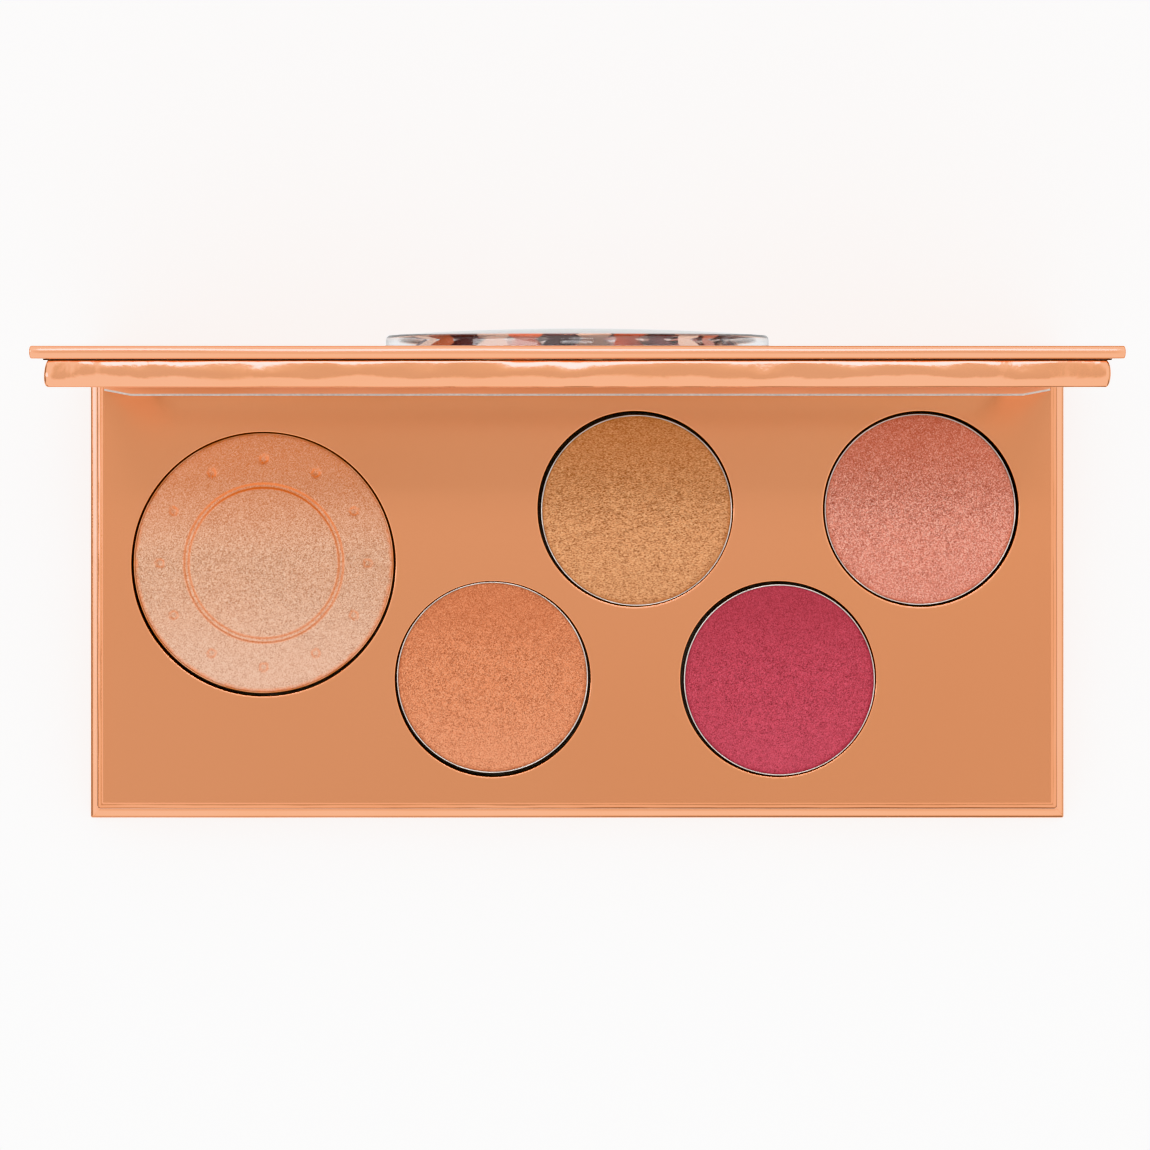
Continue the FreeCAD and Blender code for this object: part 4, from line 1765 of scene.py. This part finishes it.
@dataclass
class MirrorPanel:
    """Thick foil-wrapped panel inside the lid, with its mirror."""

    measure: Measure
    foil: float = 0.2
    turn_in: float = 3.0
    corner_radius: float = 0.7
    edge: Puff = Puff(depth=0.55, power=0.4, ridge=0.075, upper_share=0.25, end_share=1.7)
    board_inset: float = 1.2
    board_edge: float = 0.1
    pocket_clearance: float = 0.2
    mirror_corner: float = 2.0
    mirror_clearance: float = 0.15
    mirror_edge: float = 0.22
    mirror_back_edge: float = 0.055

    def build(self) -> None:
        """Build the panel's foil and the mirror, drawn shut and swung open."""
        low, high = self.measure.box("panel_wrap", shut=True)
        glass_low, glass_high = self.measure.box("mirror", shut=True)
        glass = RoundedRectangle.over(glass_low, glass_high, self.mirror_corner)
        outline = RoundedRectangle.over(low, high, self.corner_radius, spacing=0.9)
        panel = Slab(
            outline,
            low.z,
            high.z,
            top_cuts=(outline.inset(self.turn_in),),
            bottom_cuts=(glass.inset(-self.mirror_clearance),),
            puff=self.edge,
            sway=Sway(dent=0.09, wave=2.8, roundness=0.2, wander=0.34, seed=17.0),
        )
        piece = as_piece("panel_foil", panel.mesh(), [FOIL_LOOSE], self.measure.opened)
        settle(thicken(piece, self.foil, self.measure.opened), Body.LID, "foil_paper", "panel_wrap")
        sheet = Slab(glass, glass_low.z, glass_high.z, self.mirror_edge, self.mirror_back_edge)
        mirror = as_piece("mirror_glass", sheet.mesh(), [FINISHES["mirror_glass"]], self.measure.opened)
        settle(mirror, Body.LID, "mirror_glass", "mirror")
        frame_low, frame_high = self.measure.box("panel_frame_board", shut=True)
        self.build_board("panel_frame_board", (frame_low.z, frame_high.z), glass.inset(-self.board_inset))
        back_low, back_high = self.measure.box("panel_back_board", shut=True)
        disc_low, disc_high = self.measure.box("shaker_backing", shut=True)
        middle = (disc_low + disc_high) / 2
        pocket = RoundHole(middle.x, middle.y, (disc_high.x - disc_low.x) / 2 + self.pocket_clearance)
        self.build_board("panel_back_board", (disc_low.z, back_high.z), pocket, back_low.z)

    def build_board(self, node: str, levels: Span, hole: Outline, under: float | None = None) -> None:
        """Build one of the boards inside the foil, clear of its rounded edge.

        Args:
            node: the board's node.
            levels: underside and face of its punched sheet.
            hole: the hole in that sheet.
            under: underside of a plain sheet below it, if it has one.
        """
        low, high = self.measure.box(node, shut=True)
        outline = RoundedRectangle.over(low, high, self.corner_radius).inset(self.board_inset)
        sheets = [Slab(outline, *levels, self.board_edge, self.board_edge, holes=(hole,)).mesh()]
        if under is not None:
            sheets.append(Slab(outline, under, levels[0], self.board_edge, self.board_edge).mesh())
        piece = as_piece(node + "_core", joined(sheets), [FINISHES["greyboard"]], self.measure.opened)
        settle(piece, Body.LID, "greyboard", node)


@dataclass
class Shaker:
    """Clear crowned window in the lid and the loose flakes behind it."""

    measure: Measure
    colours: Sequence[str] = ("confetti_copper", "confetti_garnet", "confetti_pearl")
    wall: float = 1.6
    flange_width: float = 1.5
    flange_thickness: float = 0.6
    rise: float = 2.4
    rim_rise: float = 1.55
    edge_radius: float = 0.7
    shoulder: float = 0.25
    ceiling_radius: float = 0.3
    ceiling_steps: int = 4
    edge_steps: int = 8
    dome_steps: int = 14
    window_count: int = 192
    flake_count: int = 28
    flake_thickness: float = 0.06
    flake_cup: float = 0.05
    lean: float = 46.0
    yaw: float = 10.0
    lean_zone: float = 0.78
    lean_room: float = 0.5

    def build(self) -> None:
        """Build the window and the flakes."""
        self.build_window()
        discs = self.settled_discs()
        for colour in self.colours:
            self.build_flakes(colour, discs[colour])

    def build_window(self) -> None:
        """Build the moulded window as one clear solid, drawn shut and swung open."""
        low, high = self.measure.box("shaker_window", shut=True)
        centre = (low + high) / 2
        flange = (high.x - low.x) / 2
        radius = flange - self.flange_width
        face = high.z - self.rise
        rim = face + self.rim_rise
        ceiling = rim - self.shoulder
        inside = radius - self.wall
        crown = high.z - rim
        reach = radius - self.edge_radius
        sphere = (reach**2 + crown**2) / (2 * crown)
        sweep = math.degrees(math.asin(reach / sphere))
        bend = self.ceiling_radius
        profile = [(0, ceiling), (inside - bend, ceiling)]
        profile += arc((inside - bend, ceiling - bend), bend, 90, 0, self.ceiling_steps)
        profile += [(inside, low.z), (flange, low.z), (flange, low.z + self.flange_thickness)]
        profile += [(radius, low.z + self.flange_thickness)]
        profile += arc((reach, rim - self.edge_radius), self.edge_radius, 0, 90, self.edge_steps)
        profile += arc((0, high.z - sphere), sphere, 90 - sweep, 90, self.dome_steps)[1:-1]
        profile += [(0, high.z)]
        placement = self.measure.opened @ Matrix.Translation((centre.x, centre.y, 0))
        clear = FINISHES["clear_plastic"]
        window = as_piece("window_clear", lathe(profile, self.window_count), [clear], placement)
        settle(window, Body.LID, "clear_plastic", "shaker_window")

    def settled_discs(self) -> dict[str, list[Disc]]:
        """Discs of the frame, with those beside the wall leaning against it like scales.

        Returns:
            Centre, normal and radius of each disc, by colour.
        """
        low, high = self.measure.box("shaker_window", shut=True)
        ceiling = high.z - self.rise + self.rim_rise - self.shoulder
        middle = Vector(((low.x + high.x) / 2, (low.y + high.y) / 2, (low.z + ceiling) / 2))
        inside = (high.x - low.x) / 2 - self.flange_width - self.wall
        found = {colour: self.discs(colour) for colour in self.colours}
        ring = []
        for colour, discs in found.items():
            beside = []
            for index, disc in enumerate(discs):
                away = self.measure.shut @ disc[0] - middle
                if math.hypot(away.x, away.y) > self.lean_zone * inside:
                    beside.append((math.atan2(away.y, away.x), index))
            for place, (_, index) in enumerate(sorted(beside)):
                ring.append(((place + 0.5) / len(beside), colour, index))
        for place, (_, colour, index) in enumerate(sorted(ring)):
            angle = 2 * math.pi * place / len(ring)
            found[colour][index] = self.leaning(middle, inside, angle, found[colour][index][2])
        log.info("%d flakes lean against the wall", len(ring))
        return found

    def leaning(self, middle: Vector, inside: float, angle: float, radius: float) -> Disc:
        """One flake that leans against the window's wall.

        Args:
            middle: middle of the chamber with the lid shut.
            inside: the chamber's radius.
            angle: direction from the middle.
            radius: the flake's radius.

        Returns:
            Its centre, normal and radius with the lid open.
        """
        lean, turned = math.radians(self.lean), angle + math.radians(self.yaw)
        reach = inside - radius * math.cos(lean) - self.lean_room
        centre = middle + reach * Vector((math.cos(angle), math.sin(angle), 0))
        normal = Vector((*polar(math.sin(lean), turned), math.cos(lean)))
        return self.measure.opened @ centre, self.measure.opened.to_3x3() @ normal, radius

    def build_flakes(self, colour: str, discs: Sequence[Disc]) -> None:
        """Build the cupped foil flakes of one colour, where the frame has its discs.

        Args:
            colour: node of that colour.
            discs: centre, normal and radius of each flake.
        """
        flakes = []
        for index, (centre, normal, radius) in enumerate(discs):
            flake = lathe(self.flake_profile(radius), self.flake_count)
            side = 1 if index % 2 else -1
            turn = (side * normal).to_track_quat("Z", "Y").to_matrix().to_4x4()
            flake.transform(Matrix.Translation(centre) @ turn)
            flakes.append(flake)
        piece = as_piece(colour + "_flakes", joined(flakes), [FINISHES[colour]])
        settle(piece, Body.FLAKES, colour, colour)

    def flake_profile(self, radius: float) -> list[Point]:
        """Thin cupped disc from the axis back to the axis.

        Args:
            radius: the flake's radius.

        Returns:
            Radius and height of each row.
        """
        shares = (0.0, 0.35, 0.7, 0.93, 1.0)
        cup = [(share * radius, self.flake_cup * (share**2 - 0.5)) for share in shares]
        half = self.flake_thickness / 2
        return [(r, z - half) for r, z in cup] + [(r, z + half) for r, z in reversed(cup)]

    def discs(self, node: str) -> list[Disc]:
        """Discs of a node, in the same order and with the same normals in every run.

        Args:
            node: the node with the plain discs.

        Returns:
            Centre, normal towards the back and radius of each disc.
        """
        weld = 1e-3 * MM
        whole = bmesh.new()
        whole.from_mesh(frame["nodes"][node].data)
        bmesh.ops.remove_doubles(whole, verts=whole.verts, dist=weld)
        whole.verts.index_update()
        found = []
        waiting = set(whole.verts)
        while waiting:
            island = {waiting.pop()}
            edge = list(island)
            while edge:
                for link in edge.pop().link_edges:
                    fresh = set(link.verts) - island
                    island |= fresh
                    edge.extend(fresh)
            waiting -= island
            ordered = sorted(island, key=lambda vertex: vertex.index)
            spots = np.array([vertex.co for vertex in ordered]) / MM
            middle = spots.mean(0)
            normal = Vector(np.linalg.svd(spots - middle)[2][2])
            radius = float(np.linalg.norm(spots - middle, axis=1).max())
            found.append((Vector(middle), normal if normal.y > 0 else -normal, radius))
        whole.free()
        return sorted(found, key=lambda disc: tuple(round(number, 3) for number in disc[0]))


@dataclass(frozen=True)
class Softbox:
    """Rectangular light; places and sizes in metres, brightness as radiance."""

    name: str
    place: tuple[float, float, float]
    size: tuple[float, float]
    brightness: float
    aim: tuple[float, float, float] = (0.0, 0.0, 0.02)

    def build(self) -> None:
        """Hang the light."""
        lamp = bpy.data.lights.new(self.name, "AREA")
        lamp.shape = "RECTANGLE"
        lamp.size, lamp.size_y = self.size
        lamp.energy = self.brightness * math.pi * self.size[0] * self.size[1]
        holder = bpy.data.objects.new(self.name, lamp)
        holder.location = self.place
        holder.rotation_euler = (Vector(self.aim) - Vector(self.place)).to_track_quat("-Z", "Y").to_euler()
        holder.visible_camera = False
        bpy.context.scene.collection.objects.link(holder)


@dataclass
class Studio:
    """Pale floor, soft light and the camera over the palette, in metres; heights in the tent from -1 to 1."""

    camera_place: tuple[float, float, float] = (-0.0003, 0.0014, 0.693)
    lens: float = 154.9
    clip: Span = (0.01, 50.0)
    floor_half: float = 4.0
    floor_segments: int = 8
    floor_drop: float = 0.0002
    tent: float = 1.7
    tent_foot: float = 0.5
    foot_top: float = 0.5
    horizon: Span = (-0.06, 0.0)
    under: tuple[float, float, float] = (1.0, 1.35, 0.65)
    rising: Span = (-0.95, -0.55)
    fading: Span = (-0.45, -0.08)
    gap_share: float = 0.5
    gap_edge: float = 0.25
    gap_ends: Span = (0.4, 0.7)
    panel_count: int = 7
    opening: float = 0.9
    opening_angles: Span = (9.0, 12.0)
    glow: float = 1.0
    lights: tuple[Softbox, ...] = (
        Softbox("left_strip", (-1.3, 0.1, 1.4), (0.12, 1.4), 7.0),
        Softbox("back_strip", (0.0, 0.352, 1.6), (0.5, 0.16), 18.0),
    )

    def build(self) -> None:
        """Set floor, light and camera."""
        self.build_floor()
        self.build_sky()
        for light in self.lights:
            light.build()
        self.build_camera()
        settings = bpy.context.scene.view_settings
        settings.view_transform = "Khronos PBR Neutral"
        settings.look = "None"

    def build_floor(self) -> None:
        """Lay the floor just under the palette."""
        made = bmesh.new()
        count = self.floor_segments
        bmesh.ops.create_grid(made, x_segments=count, y_segments=count, size=self.floor_half / MM)
        finish = BoardFinish(
            "floor", light=(0.92, 0.92, 0.92), dark=(0.9, 0.9, 0.9), fibre=40.0, glow=self.glow
        )
        floor = as_piece("floor", made, [finish], Matrix.Translation((0, 0, -self.floor_drop / MM)))
        floor.visible_glossy = False
        floor.visible_transmission = False

    def build_sky(self) -> None:
        """Hang a light tent with gaps between its sides, dimmer at its foot and overhead."""
        world = bpy.data.worlds.new("tent")
        world.use_nodes = True
        sketch = NodeSketch(world.node_tree)
        ways = sketch.add("ShaderNodeSeparateXYZ")
        sketch.feed(ways.inputs[0], sketch.add("ShaderNodeTexCoord").outputs["Generated"])
        up = ways.outputs["Z"]
        near, far = (math.cos(math.radians(angle)) for angle in self.opening_angles)
        overhead = sketch.spread(up, far, near, self.tent, self.opening)
        foot = sketch.spread(up, 0.0, self.foot_top, self.tent_foot / self.tent, 1.0)
        bearing = sketch.math("ARCTAN2", ways.outputs["Y"], ways.outputs["X"])
        turn = sketch.math("MULTIPLY", bearing, self.panel_count)
        panel = sketch.ease(sketch.math("COSINE", turn), -self.gap_edge, self.gap_edge)
        steep = sketch.ease(sketch.math("ABSOLUTE", up), *self.gap_ends)
        side = sketch.between(sketch.math("MAXIMUM", panel, steep), self.gap_share, 1.0)
        above = sketch.math("MULTIPLY", overhead, foot)
        share = sketch.ease(up, *self.horizon)
        straight, slanting, level = self.under
        rising = sketch.spread(up, *self.rising, straight, slanting)
        fading = sketch.spread(up, *self.fading, 1.0, level / slanting)
        below = sketch.math("MULTIPLY", rising, fading)
        lift = sketch.math("MULTIPLY", sketch.math("SUBTRACT", above, below), share)
        whole = sketch.math("MULTIPLY", sketch.math("ADD", lift, below), side)
        inputs = world.node_tree.nodes["Background"].inputs
        sketch.feed(inputs["Color"], WHITE)
        sketch.feed(inputs["Strength"], whole)
        bpy.context.scene.world = world

    def build_camera(self) -> None:
        """Hang the camera straight over the palette, looking down."""
        eye = bpy.data.cameras.new("overhead")
        eye.lens = self.lens
        eye.clip_start, eye.clip_end = self.clip
        holder = bpy.data.objects.new("overhead", eye)
        holder.location = self.camera_place
        bpy.context.scene.collection.objects.link(holder)
        bpy.context.scene.camera = holder


def dress_frame() -> None:
    """Give the frame's own nodes that still show the finish of their material slot."""
    slots = {part["node"]: part["material_slot"] for part in frame["record"]["subparts"]}
    for name, node in frame["nodes"].items():
        if node.hide_render:
            continue
        node.data.materials.clear()
        node.data.materials.append(material_of(FINISHES[slots[name]]))
        log.info("%s dressed as %s", name, slots[name])


def main() -> None:
    """Build every sub-assembly in order, then dress what the frame still shows."""
    logging.basicConfig(level=logging.INFO, format="%(message)s")
    measure = Measure()
    shades = ("highlighter", "peach", "gold", "berry", "rose")
    BaseCase(measure).build()
    Tray(measure, shades).build()
    for shade in shades:
        Pan(measure, shade).build()
    LidCover(measure).build()
    MirrorPanel(measure).build()
    Shaker(measure).build()
    PaperHinge(measure).build()
    dress_frame()
    Studio().build()


if __name__ == "__main__":
    main()
